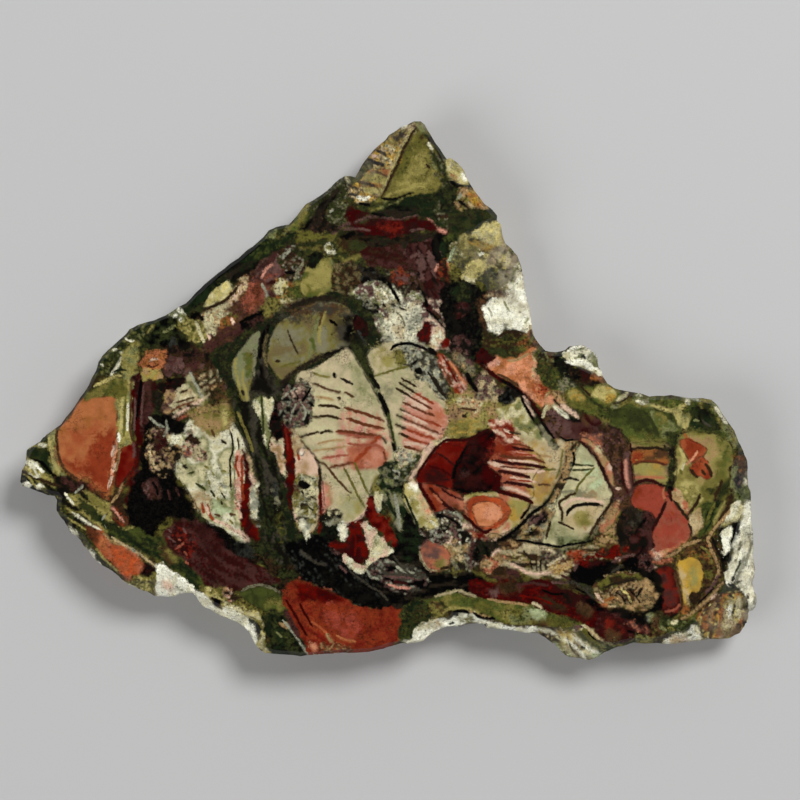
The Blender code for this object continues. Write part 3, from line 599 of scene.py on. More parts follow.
1.3/0.8 char: 341,379 352,384
1.2/0.9 brown: 313,384 337,392 341,391
1.1/0.9 brown: 345,392 354,397
1.3/1.2 tan: 317,397 333,400
1.8/0.7 umber: 338,398 340,399
1.3/0.7 umber: 318,406 329,406 340,408
1.4/0.8 sienna: 344,408 365,414 384,421 / 330,468 352,463
1.2/0.8 umber: 310,416 318,417 328,416 341,419
1.6/0.7 sienna: 347,419 366,425 384,429
1.3/0.9 umber: 293,439 317,432
1.3/0.8 umber: 320,433 326,431 332,431
2.3/1.1 dusk: 336,432 368,437 379,436
1.3/0.8 sienna: 336,431 350,432 376,435
1.4/0.8 umber: 378,436 383,438 386,443
1.9/0.9 rust: 380,437 371,445 354,464
0.9/1.0 tan: 318,444 330,441 344,440 / 314,451 346,447
0.9/1.0 dusk: 322,458 348,455
1.2/0.9 dusk: 348,444 376,446 385,450
1.0/0.8 sienna: 384,452 386,460
soft blush tan coral: 323,484 332,486 332,500 326,508 322,500
hazy celadon straw: 344,494 362,500 362,510 352,518 342,514
1.1 brown: 292,431 301,441 317,460 326,466 342,485 351,493
1.0/0.8 olive: 344,468 354,488 365,508 / 355,463 368,494
1.2/1.0 pink: 323,482 325,511
1.2/1.0 blush: 330,515 343,524 353,522 362,515 368,506 370,498
# The strip left of that cell, between its two red lines.
smooth blush tan linen: 284,428 292,428 312,455 319,466 320,490 319,520 312,532 300,531 294,515 293,490
 292,470 290,455
soft blush tan: 297,456 310,452 316,466 312,478 300,476
mottled cream ash khaki: 295,478 306,474 318,478 318,496 317,516 312,530 301,529 295,514 294,498
crisp ivory blush: 298,449 304,448 304,454 299,455
1.0 rust: 298,454 299,460
crisp black soot: 298,483 303,480 309,482 311,485 307,489 301,488
soft khaki brown: 292,484 300,488 302,498 294,500
crisp olive char: 300,505 305,502 310,505 308,509 303,509
mottled soot umber: 296,514 303,517 310,518 306,522 299,520
1.2 umber: 311,496 316,499
0.9 char: 302,491 304,494
0.9 moss: 309,507 313,511
crisp crimson blood maroon: 281,424 288,424 293,450 294,470 293,490 291,512 288,500 286,480 285,460 285,445
1.0 red: 285,426 288,450
plain cream blush tan: 270,442 276,438 283,440 286,466 285,477 281,473 276,455 271,450
1.3 umber: 319,468 321,500
2.0 crimson: 320,494 321,522 319,532
1.0 pink: 323,486 324,512
0.9 mauve: 284,482 286,487
# The black and white breccia and the pale wisps beside it.
mottled black maroon soot: 268,404 276,398 284,404 284,420 282,436 276,444 270,436 268,420
mottled soot ash black stone mauve: 281,392 290,384 300,380 309,385 313,396 311,408 311,420 304,427 296,429
 288,427 281,418 279,408 279,398
mottled mauve blush soot: 292,390 302,386 308,394 302,402 294,400
0.8/0.8 ash: 284,397 289,392 296,388 / 296,404 292,412 290,420
0.9 ash: 302,404 306,412 304,420
1.2 black: 311,388 302,401 / 309,403 314,406
streaked/80 sage bone cream: 253,402 258,397 263,395 275,401 270,420 267,449 263,441 258,414
0.9 moss: 261,394 263,420 264,434
1.2/1.0 cream: 255,404 258,409
# The crack between the two striped cells, and the second cell.
smooth linen celadon linen: 369,352 380,345 392,343 414,357 433,376 446,400 449,412 449,424 446,434 438,443
 420,458 410,463 401,461 397,452 394,438 388,412 378,388 367,362
hazy straw linen: 374,350 392,347 396,362 386,370 374,366
hazy stone celadon: 378,382 388,382 392,394 388,402 382,396
mottled ash cream slate ash smoke: 394,350 408,345 424,350 436,362 444,378 446,396 440,400 420,378 408,368
 398,362
mottled khaki olive: 394,352 402,352 408,360 402,366 396,360
mottled straw khaki tan: 444,410 450,398 462,389 476,391 490,395 504,401 511,408 504,416 494,424 472,436
 460,438 448,438 442,442 440,432 446,424
mottled sand orange sand cream: 456,403 462,396 474,398 486,403 482,410 468,410 460,407
streaked/0 khaki mustard straw: 450,422 464,418 482,420 484,428 470,435 452,435
soft mauve tan: 450,408 460,409 463,419 452,420
1.6 umber: 463,415 466,417
0.9 brown: 460,408 476,410
soft blush coral pink: 406,396 414,393 434,402 443,410 447,420 444,432 436,440 424,448 410,452 404,446
 402,436 404,424 402,412
soft coral clay: 428,408 443,412 446,424 438,432 426,424
1.0/0.8 umber: 401,378 416,387 / 399,383 415,393
1.2/0.9 rust: 415,393 434,404
1.2/0.7 umber: 396,388 411,397
1.1/0.8 sienna: 411,397 431,409
1.2/0.9 sienna: 403,402 422,411 434,416
1.1/0.8 umber: 400,409 411,415
1.3/0.9 rust: 411,415 440,426
1.2/0.8 umber: 397,415 409,421
1.3/0.9 sienna: 409,421 438,433
1.5/0.7 umber: 396,425 407,429
1.6/0.8 rust: 407,429 434,439
1.4/0.7 umber: 399,433 409,438
1.4/0.8 rust: 409,438 423,443 430,444
1.4/0.7 sienna: 404,446 422,452
0.9/0.8 blush: 402,395 424,407 / 402,412 428,424 / 401,421 427,432
0.9/0.8 pink: 402,405 424,415 / 403,431 428,441
1.1/0.8 blush: 405,442 426,447
1.0/0.9 olive: 369,378 390,371 409,366
crisp black soot: 415,369 420,367 422,372 418,375 415,373
1.1 soot: 412,364 417,361
0.9/0.8 char: 432,378 442,395
streaked/58 brick pink dusk blush sienna: 437,352 446,357 456,365 464,375 468,387 461,393 451,388 444,377
 439,364
0.9/0.8 salmon: 450,362 465,384
0.9/0.8 crimson: 443,356 457,382
soft mauve stone tan: 452,354 464,354 474,364 476,374 468,374
1.2 char: 434,378 446,398
0.9 char: 428,372 440,392
1.0/1.0 celadon: 432,396 447,408
mottled mauve stone sand: 471,385 478,376 486,372 501,388 501,396 490,401 478,397
2.0 black: 467,373 472,384 477,391
mottled black slate soot: 499,394 506,385 515,383 521,394 517,404 506,407 499,402
1.4/0.7 black: 391,349 396,345 410,344 428,350
crisp black soot: 426,348 434,349 436,356 430,354
1.6/1.2 celadon: 384,404 390,418 396,450 400,460
3.6/1.6 moss: 353,345 360,354 372,376
1.7/0.7 soot: 370,374 379,388
2.4/0.9 black: 379,394 386,408 388,415
1.1/0.9 fern: 388,414 394,442 397,452
1.4/0.7 black: 393,443 395,451 400,459
# The dark sweep under the middle and the flecks in it.
streaked/40 black soot black slate black: 284,545 300,540 318,534 332,544 345,557 357,572 372,566 384,580
 400,600 388,608 370,607 354,603 326,588 312,584 298,574
streaked/-8 black soot black char: 380,560 392,553 394,530 398,505 400,480 412,470 424,500 434,520 440,545
 436,572 470,572 486,584 470,593 450,594 434,598 404,607 390,604 378,588
mottled black soot: 320,572 334,574 350,584 366,592 392,604 380,608 362,605 346,598 330,588
streaked/14 smoke black ash soot mauve black: 366,560 384,556 396,562 412,566 424,574 428,582 420,590
 406,592 390,590 376,582 364,570
1.0/0.9 ash: 366,569 370,576 378,579
1.2/0.9 ash: 397,566 404,571 414,573
1.0/0.9 mauve: 388,577 400,577 414,579
1.0/0.9 pink: 388,584 398,587 410,588
1.2 maroon: 394,582 408,583
0.8/0.9 smoke: 350,572 376,590 388,600 / 394,556 402,567 410,575 424,579
1.2/1.2 smoke: 300,550 314,562 326,565
1.3/1.1 ash: 405,555 410,549 420,547
0.9/1.0 mauve: 340,566 346,572
mottled black pine: 399,500 405,500 417,524 421,540 416,560 404,560 398,545 397,520
# The pale breccia around the butterfly.
mottled mauve black stone umber bone soot: 428,514 438,510 450,510 460,514 470,524 492,540 492,552 482,562
 468,568 452,560 440,546 430,534
1.4 black: 437,516 445,516 460,524
1.3/1.0 ash: 449,512 456,514 462,519
1.2/0.9 blush: 444,540 450,543 452,537
mottled char khaki moss stone: 446,554 460,552 468,564 464,573 450,574 444,566
mottled tan khaki stone sand: 440,544 452,542 466,546 472,556 462,560 450,560 444,554
mottled mauve smoke ash plum: 464,548 476,546 486,556 480,564 468,564
smooth dusk clay mauve: 420,550 424,543 430,540 438,542 446,548 450,556 449,565 442,571 432,571 425,567
 422,560
soft mauve dusk: 423,544 432,540 440,544 430,549 424,549
soft tan khaki: 436,562 449,560 446,569 436,570
0.9/1.0 beige: 420,552 422,560 427,568 436,571
1.2 umber: 440,569 448,567
mottled black pine soot char: 474,544 488,540 502,538 513,535 508,546 498,552 490,560 482,564 474,558
streaked/4 beige stone tan linen khaki umber: 490,556 502,547 514,545 526,538 546,528 560,526 590,544
 604,546 604,558 586,559 576,566 568,575 556,578 544,575 534,578 508,569 496,570 482,568
streaked/8 umber brown char plum: 484,560 498,566 510,568 522,574 512,583 500,581 488,577 478,571
mottled tan umber sand clay: 480,562 490,556 506,554 508,562 498,568 486,570
1.2/1.0 blush: 492,556 496,552 500,550
mottled mauve stone brown smoke: 538,550 552,548 562,554 560,564 544,566
mottled moss stone sage: 560,548 576,546 584,552 576,558 564,556
mottled rust brown clay stone: 568,554 580,550 590,556 584,564 572,564
1.3/1.0 linen: 520,545 546,549 554,552
1.0 umber: 517,542 528,541 556,546
0.8 char: 524,551 531,560
1.0 black: 530,562 532,569 / 536,562 537,570
0.9 black: 541,561 541,570
0.9 char: 546,562 546,569 / 511,562 520,565 526,564
1.3/1.0 blush: 508,564 520,568 528,573 538,574 550,572
streaked/-20 tan mustard sand brown: 549,568 555,562 564,558 572,558 571,566 566,574 558,577 551,573
1.0/0.9 linen: 548,565 565,556 / 552,575 559,577 567,574
mottled beige ash khaki tan: 518,514 532,508 546,506 556,500 562,512 558,528 550,538 520,542 508,540 514,528
mottled tan umber brown: 500,542 514,536 524,542 514,552 500,550
mottled black soot mauve: 526,522 533,512 540,510 548,513 546,522 538,526 528,526
mottled black umber: 524,534 532,527 540,530 534,536
1.3/0.9 mauve: 529,526 536,520 543,516
mottled black char: 502,540 514,528 522,526 518,534 510,540
# The dark red band and the black pool beside it.
streaked/12 blood crimson maroon blood: 470,579 482,582 492,582 504,579 520,582 545,579 556,584 580,592
 592,598 604,606 616,612 632,612 640,620 636,636 626,643 612,641 600,636 580,623 568,618 556,616 532,606
 504,603 480,597 470,594
soft plum brown umber: 500,582 516,582 522,590 508,594 498,590
soft mauve maroon: 488,588 498,588 498,596 488,594
soft umber maroon: 540,596 556,600 566,610 552,612 542,604
soft soot maroon: 556,588 576,594 588,604 580,610 564,602
soft umber brown: 578,604 592,606 592,618 580,616
1.2 plum: 516,585 532,583 548,586
0.9 crimson: 520,596 536,598 552,604
0.9 black: 542,590 552,594 564,594
plain black: 570,577 575,567 580,561 590,562 600,560 612,561 622,566 622,572 612,574 604,579 598,585 590,588
 582,584 574,582
plain soot maroon black: 580,594 592,597 604,605 616,611 626,614 622,624 610,622 600,616
1.2 mauve: 552,582 562,583 571,582
1.2/1.1 smoke: 568,582 580,586 594,598
0.8 black: 576,589 586,593
1.4/1.1 smoke: 586,587 590,589
1.3/1.1 mauve: 578,563 575,570
1.0 plum: 562,576 570,579
# The green band under it and the white rim below.
plain fern leaf olive khaki: 404,607 412,601 424,600 446,592 456,592 470,596 492,601 504,603 532,607 556,617
 568,619 580,624 588,630 596,640 604,647 596,650 572,634 556,629 532,627 518,626 504,622 490,616 466,609
 455,609 446,612 420,627 408,641 401,641 398,634
mottled moss umber fern pine: 402,608 414,602 426,602 434,606 438,614 428,622 418,627 410,636 402,638
 400,626
mottled khaki brown moss: 428,602 440,602 448,608 442,614 432,612
soft leaf olive: 452,598 470,600 490,604 506,607 504,612 486,609 466,606 452,606
mottled khaki straw olive: 500,609 520,611 530,617 532,624 516,623 502,618
soft sage mint: 524,610 538,609 548,615 540,621 526,620
soft sage fern: 512,616 526,618 528,624 514,623
plain black moss: 521,611 526,609 531,610 528,613 523,613
soft olive moss: 545,616 562,620 574,626 572,631 556,628
soft olive brown: 532,622 546,620 552,627 538,627
1.2 umber: 516,625 528,626 538,625 546,627
1.2/1.2 beige: 436,597 446,593 456,591 466,593 476,597
1.0 tan: 488,599 500,601 528,605
1.3/1.0 linen: 532,603 538,605 542,608
1.5 straw: 442,614 446,610 454,608 468,609 478,613
1.2 tan: 470,612 492,619
plain ivory ivory bone: 405,643 411,637 416,628 434,620 444,617 452,618 457,613 466,611 474,614 479,619
 500,622 510,627 538,628 542,634 530,635 512,633 486,628 478,623 466,623 456,627 446,628 436,631 424,642
 412,644
plain ivory: 422,630 436,624 446,622 440,628 430,632 422,638 416,640 418,634
soft sand cream: 418,628 430,622 440,620 440,624 426,628
soft khaki sage: 458,618 470,616 474,620 462,622
1.6 black: 452,613 457,611 464,611 469,613
1.4 black: 474,613 480,617 494,619
plain black pine: 458,626 464,623 472,624 480,623 488,625 490,628
1.0 pine: 448,624 454,622
1.4 ash: 488,629 520,634 538,634
1.0 moss: 404,640 410,632 412,624
1.0 ash: 402,641 407,640
# The lobe that hangs below the lower edge.
streaked/35 cream olive butter khaki sand umber: 538,630 546,627 558,629 570,633 580,626 588,624 598,634
 610,642 622,644 624,648 600,658 588,662 572,661 562,653 540,636
streaked/45 olive moss fern: 578,632 586,628 594,636 602,642 606,647 598,650 582,640
mottled mauve umber: 574,626 582,624 586,628 578,632
soft butter mustard cream: 560,630 570,632 574,642 566,640 558,634
mottled sage khaki mint: 546,640 556,642 566,652 576,656 572,662 550,646
plain mint ash sage: 572,656 604,652 616,648 624,647 614,654 588,662 574,662
1.4 bone: 540,629 549,631 556,634
1.2 umber: 542,633 550,635 556,638
1.2/1.0 ivory: 564,638 580,652 585,659
1.3 cream: 556,636 564,640
1.1/1.0 ivory: 572,634 586,647 598,652
1.3 sand: 586,626 600,640 608,643
1.0 sand: 572,633 578,638
1.3 black: 580,646 585,648 / 601,648 607,652
1.0 black: 588,632 596,639 606,643
0.9 moss: 568,640 572,648 578,655
1.2 ash: 542,637 562,654 570,660
# The knot, the dark reds and the pale tongue below it.
mottled black pine soot: 320,516 328,513 334,515 340,511 344,520 340,540 332,543 325,537 321,526
plain ash stone: 325,519 338,519 341,523 334,525 325,524
mottled cream char: 328,511 335,508 340,513 334,517
plain bone ash ivory: 339,527 343,523 348,528 348,538 344,542 340,538
plain bone ash: 298,522 306,520 312,524 310,532 305,540 301,534
mottled moss olive soot: 279,512 285,514 284,536 280,544 276,530
mottled stone slate: 272,484 279,486 279,504 274,506
soft sage khaki: 372,478 384,478 384,494 374,494
mottled pine stone slate sage: 384,464 392,460 400,462 406,468 408,478 402,486 392,490 384,490 378,484
 378,474
1.2 ash: 393,470 398,472 398,477 394,478
1.2 char: 396,473 398,475
1.4 black: 383,492 390,489 398,488 404,484
streaked/80 stone sage pine: 380,494 392,490 402,490 406,500 402,531 396,529 392,515
1.6 ash: 395,495 398,512 400,529
1.8 pine: 388,500 392,512
plain cream bone: 374,494 382,494 382,504 378,511 375,503
plain blood crimson red: 367,497 372,497 375,506 379,512 386,516 390,524 396,546 390,548 386,539 370,522
 367,514
mottled mauve plum soot: 328,545 338,542 345,548 342,554 332,552
plain blood maroon crimson: 346,525 363,520 363,530 370,551 366,561 359,566 352,561 345,554 334,549 327,544
 336,540 346,540 348,532
0.9 crimson: 354,530 356,544 354,556
plain bone cream blush: 342,556 348,556 359,565 365,560 369,551 367,541 363,530 362,522 368,521 386,544
 391,547 394,553 385,556 371,563 359,574 354,572 343,560
soft cream sage: 374,536 384,544 388,551 378,554 374,545
1.3 blush: 364,524 370,548
# The cream strip left of the butterfly and the pale ground that points at it.
mottled moss ash sage khaki: 402,464 412,454 424,452 426,460 414,476 406,481 400,476
mottled cream blush khaki ash: 396,448 406,450 414,454 408,462 400,466 396,460
crisp cream sand blush: 424,448 446,436 450,440 440,447 432,456 418,474 412,480 407,479 420,460
1.0 mauve: 436,446 425,462
crisp butter cream straw: 403,486 409,481 417,481 431,510 440,524 434,529 428,532 421,531 415,523 405,500
soft ivory blush: 408,482 416,481 419,490 412,490
soft salmon peach sand: 420,494 426,502 431,512 428,520 422,508
1.0 pine: 404,494 416,522 421,533
1.0 bone: 430,520 442,533
mottled ash mauve black char: 420,530 432,528 442,530 446,540 436,544 426,540
# The butterfly of dark red with its black core.
smooth crimson red crimson: 416,478 425,462 438,446 446,441 462,440 470,438 488,429 494,432 500,441 502,455
 494,464 492,472 482,490 468,494 456,492 446,488 420,484
hazy red crimson: 440,448 454,442 464,446 460,456 446,462 438,456
hazy maroon crimson: 422,470 438,468 446,478 436,486 420,482
0.9/0.9 blood: 430,466 442,470 452,476
0.9/0.9 maroon: 438,454 446,459 454,466 / 426,474 438,478 450,480
crisp blood black maroon: 452,474 455,465 466,449 466,440 474,438 489,430 495,434 505,447 489,464 492,469
 504,477 505,483 501,489 494,493 484,493 468,495 460,493 454,490 451,482
hazy maroon black soot: 470,446 480,443 484,450 482,462 486,474 482,484 470,485 458,482 456,474 468,456
soft maroon plum: 460,472 468,474 466,480 460,478
soft black blood: 486,470 500,478 500,486 490,490 484,480
soft black blood: 478,432 488,429 496,436 492,446 486,450 480,442
1.6/1.0 black: 453,478 456,466 462,456 466,446
1.8/1.0 black: 454,488 464,492 476,493 488,491
1.2/0.7 blood: 417,478 421,468 441,443 452,440 464,440 474,437 489,429
smooth sienna dusk brick: 420,484 434,485 456,492 462,496 466,504 468,514 452,508 436,513 430,506 424,495
soft coral clay: 457,496 464,497 468,504 466,511 460,506
1.7/0.9 maroon: 430,488 446,505 454,511
2.0/1.0 blood: 419,483 424,493 435,510
1.1/0.8 maroon: 436,485 448,488
1.0/0.9 maroon: 442,489 452,496 462,500
0.9/0.9 clay: 434,494 442,503
# The pale striped wing on its right.
smooth sand linen tan: 522,398 540,420 551,432 562,440 568,447 566,462 562,476 549,499 541,505 534,506
 524,500 516,480 510,460 512,440 504,424 507,410 514,402
hazy linen sand: 532,448 552,446 558,460 550,474 534,476 528,462
hazy linen cream celadon: 510,410 524,404 538,420 548,434 540,446 526,440 516,424
hazy olive khaki: 536,490 548,486 546,500 538,502
hazy fern moss: 526,408 534,410 554,434 548,436 536,424
soft tan mustard amber: 534,480 554,476 552,486 546,492 534,492
smooth dusk clay dusk: 496,436 506,440 518,440 534,451 540,458 544,466 536,474 532,482 534,490 532,498
 520,496 508,491 502,484 500,474 490,468 488,461 494,452
hazy sand mustard tan: 530,440 544,448 550,462 548,480 544,500 532,502 526,486 524,462
hazy red brick: 496,440 512,440 524,450 514,458 498,458 490,454
streaked/20 red dusk rust blush: 490,424 500,416 509,413 516,434 520,441 510,444 503,444 498,438
1.3/0.8 blush: 504,429 510,433
1.2/0.8 blush: 514,437 520,439 / 508,460 522,461 538,464
1.1/0.8 umber: 510,432 520,434
1.2/0.8 maroon: 512,447 534,451
1.2/0.9 pink: 510,452 536,456
1.4/0.8 sienna: 500,456 520,458 534,459 545,463
1.5/0.8 maroon: 492,460 510,463 528,465 546,468
1.7/1.2 blush: 489,463 512,469 528,471 544,471
1.7/0.9 maroon: 498,471 521,475 530,478 / 504,483 519,484 533,487
1.7/1.1 blush: 510,478 535,482
1.6/1.1 blush: 503,488 516,490 529,496
0.9/1.0 tan: 538,455 552,457
0.8/0.8 sienna: 512,444 522,445 530,448 / 500,467 516,468 534,469
0.8/0.8 rust: 506,452 532,455 / 508,479 531,482 / 506,491 529,498
0.9/1.0 olive: 544,469 556,469
0.9/1.0 brown: 538,485 550,485
1.6/1.0 umber: 568,446 566,460 562,474 556,488 548,500
1.0/1.2 olive: 563,450 561,464 556,478
# The orange oval on the tongue below.
smooth clay sand straw: 464,496 476,493 492,492 504,494 526,500 531,503 522,520 515,527 506,532 496,534
 478,529 470,522 464,512
soft straw mustard: 511,499 527,503 522,514 514,524 509,516
smooth rust flame terracotta: 466,506 472,498 484,496 498,498 508,505 510,515 503,525 492,530 480,528
 470,519
smooth salmon orange salmon: 472,513 474,505 482,502 492,502 500,507 503,514 499,521 489,526 478,524
soft peach salmon: 486,507 498,508 502,515 497,521 487,518
1.2/0.9 rust: 488,530 497,525 506,518
plain blush sage mauve: 462,524 464,519 470,526 478,532 486,535 486,540 478,538 464,530
soft salmon crimson: 472,530 484,533 486,538 476,538
soft blush tan: 488,532 500,534 508,531 500,538 490,538
1.3 black: 531,502 526,512 521,519
1.3 moss: 556,484 550,496 544,503
1.0/1.0 beige: 511,533 516,530
1.5/0.8 blood: 462,514 478,528 485,532 491,530
1.9/0.8 blood: 494,490 516,496 532,502
1.8 black: 549,500 541,508 532,513 517,529 508,536 498,541
# The pale cell with thin black arcs, right of the middle.
mottled umber moss soot stone tan: 564,446 572,438 578,444 577,452 566,484 562,494 556,500 550,504 552,494
 558,482 566,456
smooth celadon cream celadon: 577,450 582,444 596,458 601,466 610,485 613,494 611,503 606,512 589,538
 582,543 572,546 560,547 548,545 542,540 556,510 556,500 561,492 571,470
hazy cream celadon mint: 578,452 588,456 598,470 604,486 596,492 582,488 576,474
hazy linen sand: 562,500 580,498 604,498 610,504 592,532 576,532 562,522
soft khaki straw: 574,514 588,512 592,524 580,528
soft lichen moss sage: 556,530 578,536 592,534 586,544 570,546 556,544
hazy sage celadon: 552,518 562,522 572,532 560,536 548,534
soft stone tan: 574,490 584,489 594,492 596,498 584,499 575,497
soft cream celadon: 560,495 567,492 571,496 564,503
1.3/1.0 blush: 564,506 572,500 582,499 604,502
1.2/0.7 moss: 574,465 593,466
1.1/0.7 moss: 573,470 592,469
1.0/0.9 cream: 574,467.5 592,467
1.0/0.7 olive: 594,468 582,481 574,495
1.2/0.8 char: 564,480 570,478 579,480
1.6 char: 560,489 563,486
1.1/1.0 stone: 560,492 575,491
1.6/0.7 soot: 567,515 569,510 578,505 594,504 602,506
1.4/0.8 umber: 575,493 561,501 559,506 562,512 562,520
0.9 umber: 558,522 574,529
1.2 umber: 550,522 546,538
1.0 tan: 584,526 586,529
1.2/1.0 cream: 555,500 558,516
1.0 black: 573,452 574,460 573,466
1.9 maroon: 580,441 587,447 600,464 613,493
1.8 umber: 613,493 611,503 598,521 590,537
1.2 black: 514,540 526,541 558,547 566,545 592,541 600,536 616,522
# The mauve band that sweeps over it and down its right side.
smooth mauve plum brown: 543,420 546,411 554,408 562,412 570,418 579,420 584,413 590,412 598,419 620,429
 627,437 630,448 634,478 635,492 640,500 636,508 626,512 616,504 613,492 604,470 598,458 590,448 580,440
 560,440 552,437 546,430
mottled brown umber mauve: 543,418 550,410 558,414 560,428 552,432 545,428
mottled umber plum mauve brown: 600,424 612,426 622,432 628,442 627,456 623,466 623,482 628,496 622,500
 616,490 613,476 608,462 600,438
soft plum maroon: 572,426 586,426 592,434 580,438 570,434
soft salmon mauve clay: 584,436 600,438 604,450 598,456 590,446
smooth blush clay tan: 580,438 590,440 606,456 612,466 614,478 614,488 609,480 599,458 592,449
soft cream sand: 595,444 602,450 600,456 594,450
1.5/1.3 pink: 626,460 627,480 629,488
1.4 maroon: 622,462 622,474 624,484 628,492
1.2 maroon: 630,456 634,486
1.8 black: 560,411 567,417 574,420 580,421
1.8 maroon: 583,412 588,419 594,424 601,423
1.0 char: 610,426 618,429 625,436 628,444
1.0 black: 556,433 560,437 566,440 574,440
1.6 umber: 557,434 559,438
1.4/1.0 blush: 616,489 620,489
mottled mauve plum brown: 614,496 624,496 634,500 632,510 622,512 616,506
plain tan clay sand: 601,522 617,500 620,507 616,517 609,526 602,532
mottled tan khaki brown: 594,538 610,525 618,520 618,534 620,546 596,545
mottled soot umber plum char: 617,520 624,510 636,508 648,510 658,514 655,526 640,542 630,548 620,548
 617,535
soft smoke char soot: 628,512 640,512 646,518 640,526 630,524
soft plum maroon: 646,512 656,514 655,524 648,532 644,524
crisp soot umber: 616,524 622,518 624,532 622,544 617,538
1.6 black: 646,518 638,532 636,540
mottled crimson blood brick umber: 572,558 584,556 596,556 602,550 612,546 624,546 634,548 636,556 628,562
 614,562 600,560 586,560
soft crimson maroon: 576,560 596,558 604,562 588,566
1.3 blush: 616,558 620,560
# The orange triangle and the dark lines on its lower side.
plain sage straw cream: 496,410 508,406 518,400 530,416 542,434 530,436 508,420 500,418
plain stone char moss: 531,404 538,410 544,422 560,449 550,446 542,436 530,414
mottled brown amber umber olive: 520,338 528,330 536,338 542,350 540,358 530,352 518,352
plain peach salmon orange: 484,365 488,360 494,358 514,357 524,353 532,348 536,353 537,366 536,380 552,394
 554,401 541,410 535,403 511,380 492,371
soft orange amber: 492,364 502,362 504,370 496,370
soft amber orange terracotta: 526,382 540,384 550,394 544,400 534,394
mottled terracotta rust salmon: 536,384 546,387 552,394 546,398 538,394
plain sand peach: 531,350 536,352 538,366 538,380 535,384 532,376 533,362
soft pink blush: 484,364 492,359 500,359 494,364
1.2 rust: 540,384 551,396
1.6 peach: 547,396 552,398
1.2 tan: 508,360 516,360 528,354
1.9 blood: 482,366 500,379 520,391 534,406 543,420
1.4 black: 500,379 518,391 534,410 548,430 554,438
1.0 brown: 498,374 508,379 518,387
1.8 blush: 523,397 533,416
1.5 black: 521,397 525,406 534,421
plain maroon blood black: 479,350 490,352 496,356 481,366 477,360
# The green ground between the triangle and the white knob.
mottled moss olive brown fern: 536,350 544,348 550,354 556,364 564,388 572,406 566,408 550,388 538,376
 539,362
mottled char moss sage brown: 540,350 548,351 556,350 565,351 566,360 558,366 548,362 542,358
mottled black pine soot: 554,352 564,354 570,363 578,369 580,376 572,382 564,384 558,376 553,364
mottled sage pine stone: 556,384 566,378 574,384 568,392 560,394
mottled tan brown khaki: 548,392 560,394 568,404 564,410 556,402
plain sand tan peach: 544,402 550,396 558,400 564,406 558,408 550,408 545,411
1.3 black: 554,400 567,411
1.8 bone: 554,406 568,417
2.0 blush: 562,405 578,417
1.4 cream: 547,406 542,418
# The white knob on the upper edge.
mottled sage ash bone: 563,358 567,352 573,347 581,345 589,347 595,352 599,358 598,364 590,364 580,360
 570,358
soft leaf sage: 588,356 596,358 597,364 590,362
1.5 ivory: 566,353 573,348 581,346 589,348 595,353 598,358
1.0 bone: 574,354 580,351 587,353
2.4 soot: 582,356 585,358
plain ivory bone cream: 563,354 568,353 574,357 590,363 597,367 602,372 601,377 594,375 564,359
plain ivory: 574,358 584,361 599,370 598,373 578,363
mottled soot umber black: 568,364 597,377 603,378 608,384 602,386 592,387 574,377 568,372
soft maroon umber: 580,370 590,374 592,384 584,382
soft amber brown: 592,375 602,377 604,382 594,380
plain black: 576,376 582,378 580,382 575,380
# Olive yellow ground right of the knob.
plain khaki olive leaf: 566,396 572,389 580,387 592,388 602,384 609,386 616,391 624,394 630,393 628,399
 612,410 614,420 606,422 598,418 590,412 574,408 568,403
plain mustard straw butter: 594,389 602,385 610,387 618,393 617,399 609,403 600,401 592,395
plain straw mustard khaki: 568,394 576,390 584,392 590,398 584,402 574,401
soft leaf olive fern: 572,402 588,404 598,410 590,412 576,408
mottled fern moss khaki: 598,408 610,408 614,420 606,424 600,418
1.5 moss: 577,386 588,397 603,408
1.0 umber: 580,386 590,396
2.0 cream: 617,400 628,393
1.2 umber: 630,391 628,397 622,401 612,404
# The green area at the upper right.
plain fern leaf moss: 608,408 622,402 640,398 660,396 684,396 714,401 722,410 729,424 736,432 739,444
 736,450 724,440 700,434 684,434 676,446 668,444 650,442 632,444 627,436 618,428 610,424
plain moss fern: 611,410 624,407 640,408 648,413 653,422 650,428 636,428 620,426 612,420
soft leaf olive: 624,430 640,432 652,434 648,442 632,442
plain stone sage khaki: 609,407 614,403 640,398 650,400 658,405 650,407 638,405 624,405 612,408
mottled ash bone sage: 634,392 641,393 644,397 638,400 633,398
1.5 bone: 637,401 645,403
mottled leaf khaki fern: 646,400 658,396 676,397 690,401 690,408 680,412 668,413 656,409
2.2 butter: 652,405 668,411 677,410 684,405
1.7 bone: 686,400 688,403
1.2 moss: 654,408 664,413 672,414 682,411
plain sage leaf khaki: 650,411 658,412 664,415 680,430 672,432 665,432 666,440 662,440
1.5 moss: 644,412 650,419 660,440
plain fern moss: 662,412 670,414 682,428 674,426 666,418
plain khaki sage butter: 674,413 682,411 690,412 692,417 685,429 681,427
plain pine moss fern: 664,433 674,431 683,433 681,441 676,448 669,442
soft leaf olive: 656,440 668,444 672,452 660,448
plain pine moss soot: 690,407 698,404 706,408 713,414 718,422 719,430 708,431 698,430 690,425 693,416
soft soot pine: 696,408 706,410 710,418 702,418
soft soot moss: 704,426 716,424 718,430 706,430
1.1 sage: 694,420 699,421
0.9 smoke: 702,420 706,424 712,426
mottled sage leaf stone khaki: 700,399 714,400 722,410 728,422 735,431 738,443 734,448 722,430 718,418
 710,410 702,405
mottled moss pine khaki: 700,398 710,401 714,406 706,408 698,405
1.4 bone: 715,407 726,424
1.2 ash: 680,396 692,398 700,401
1.3 umber: 683,428 685,434 681,440
# The striped column and the dark edge right of it.
smooth straw tan dun: 630,446 638,442 652,441 666,443 671,450 669,482 660,484 648,482 636,484 634,470
soft khaki leaf: 632,440 650,438 668,440 662,446 638,446
smooth brown amber rust: 631,451 642,449 656,449 668,451 670,459 666,464 642,462 633,464
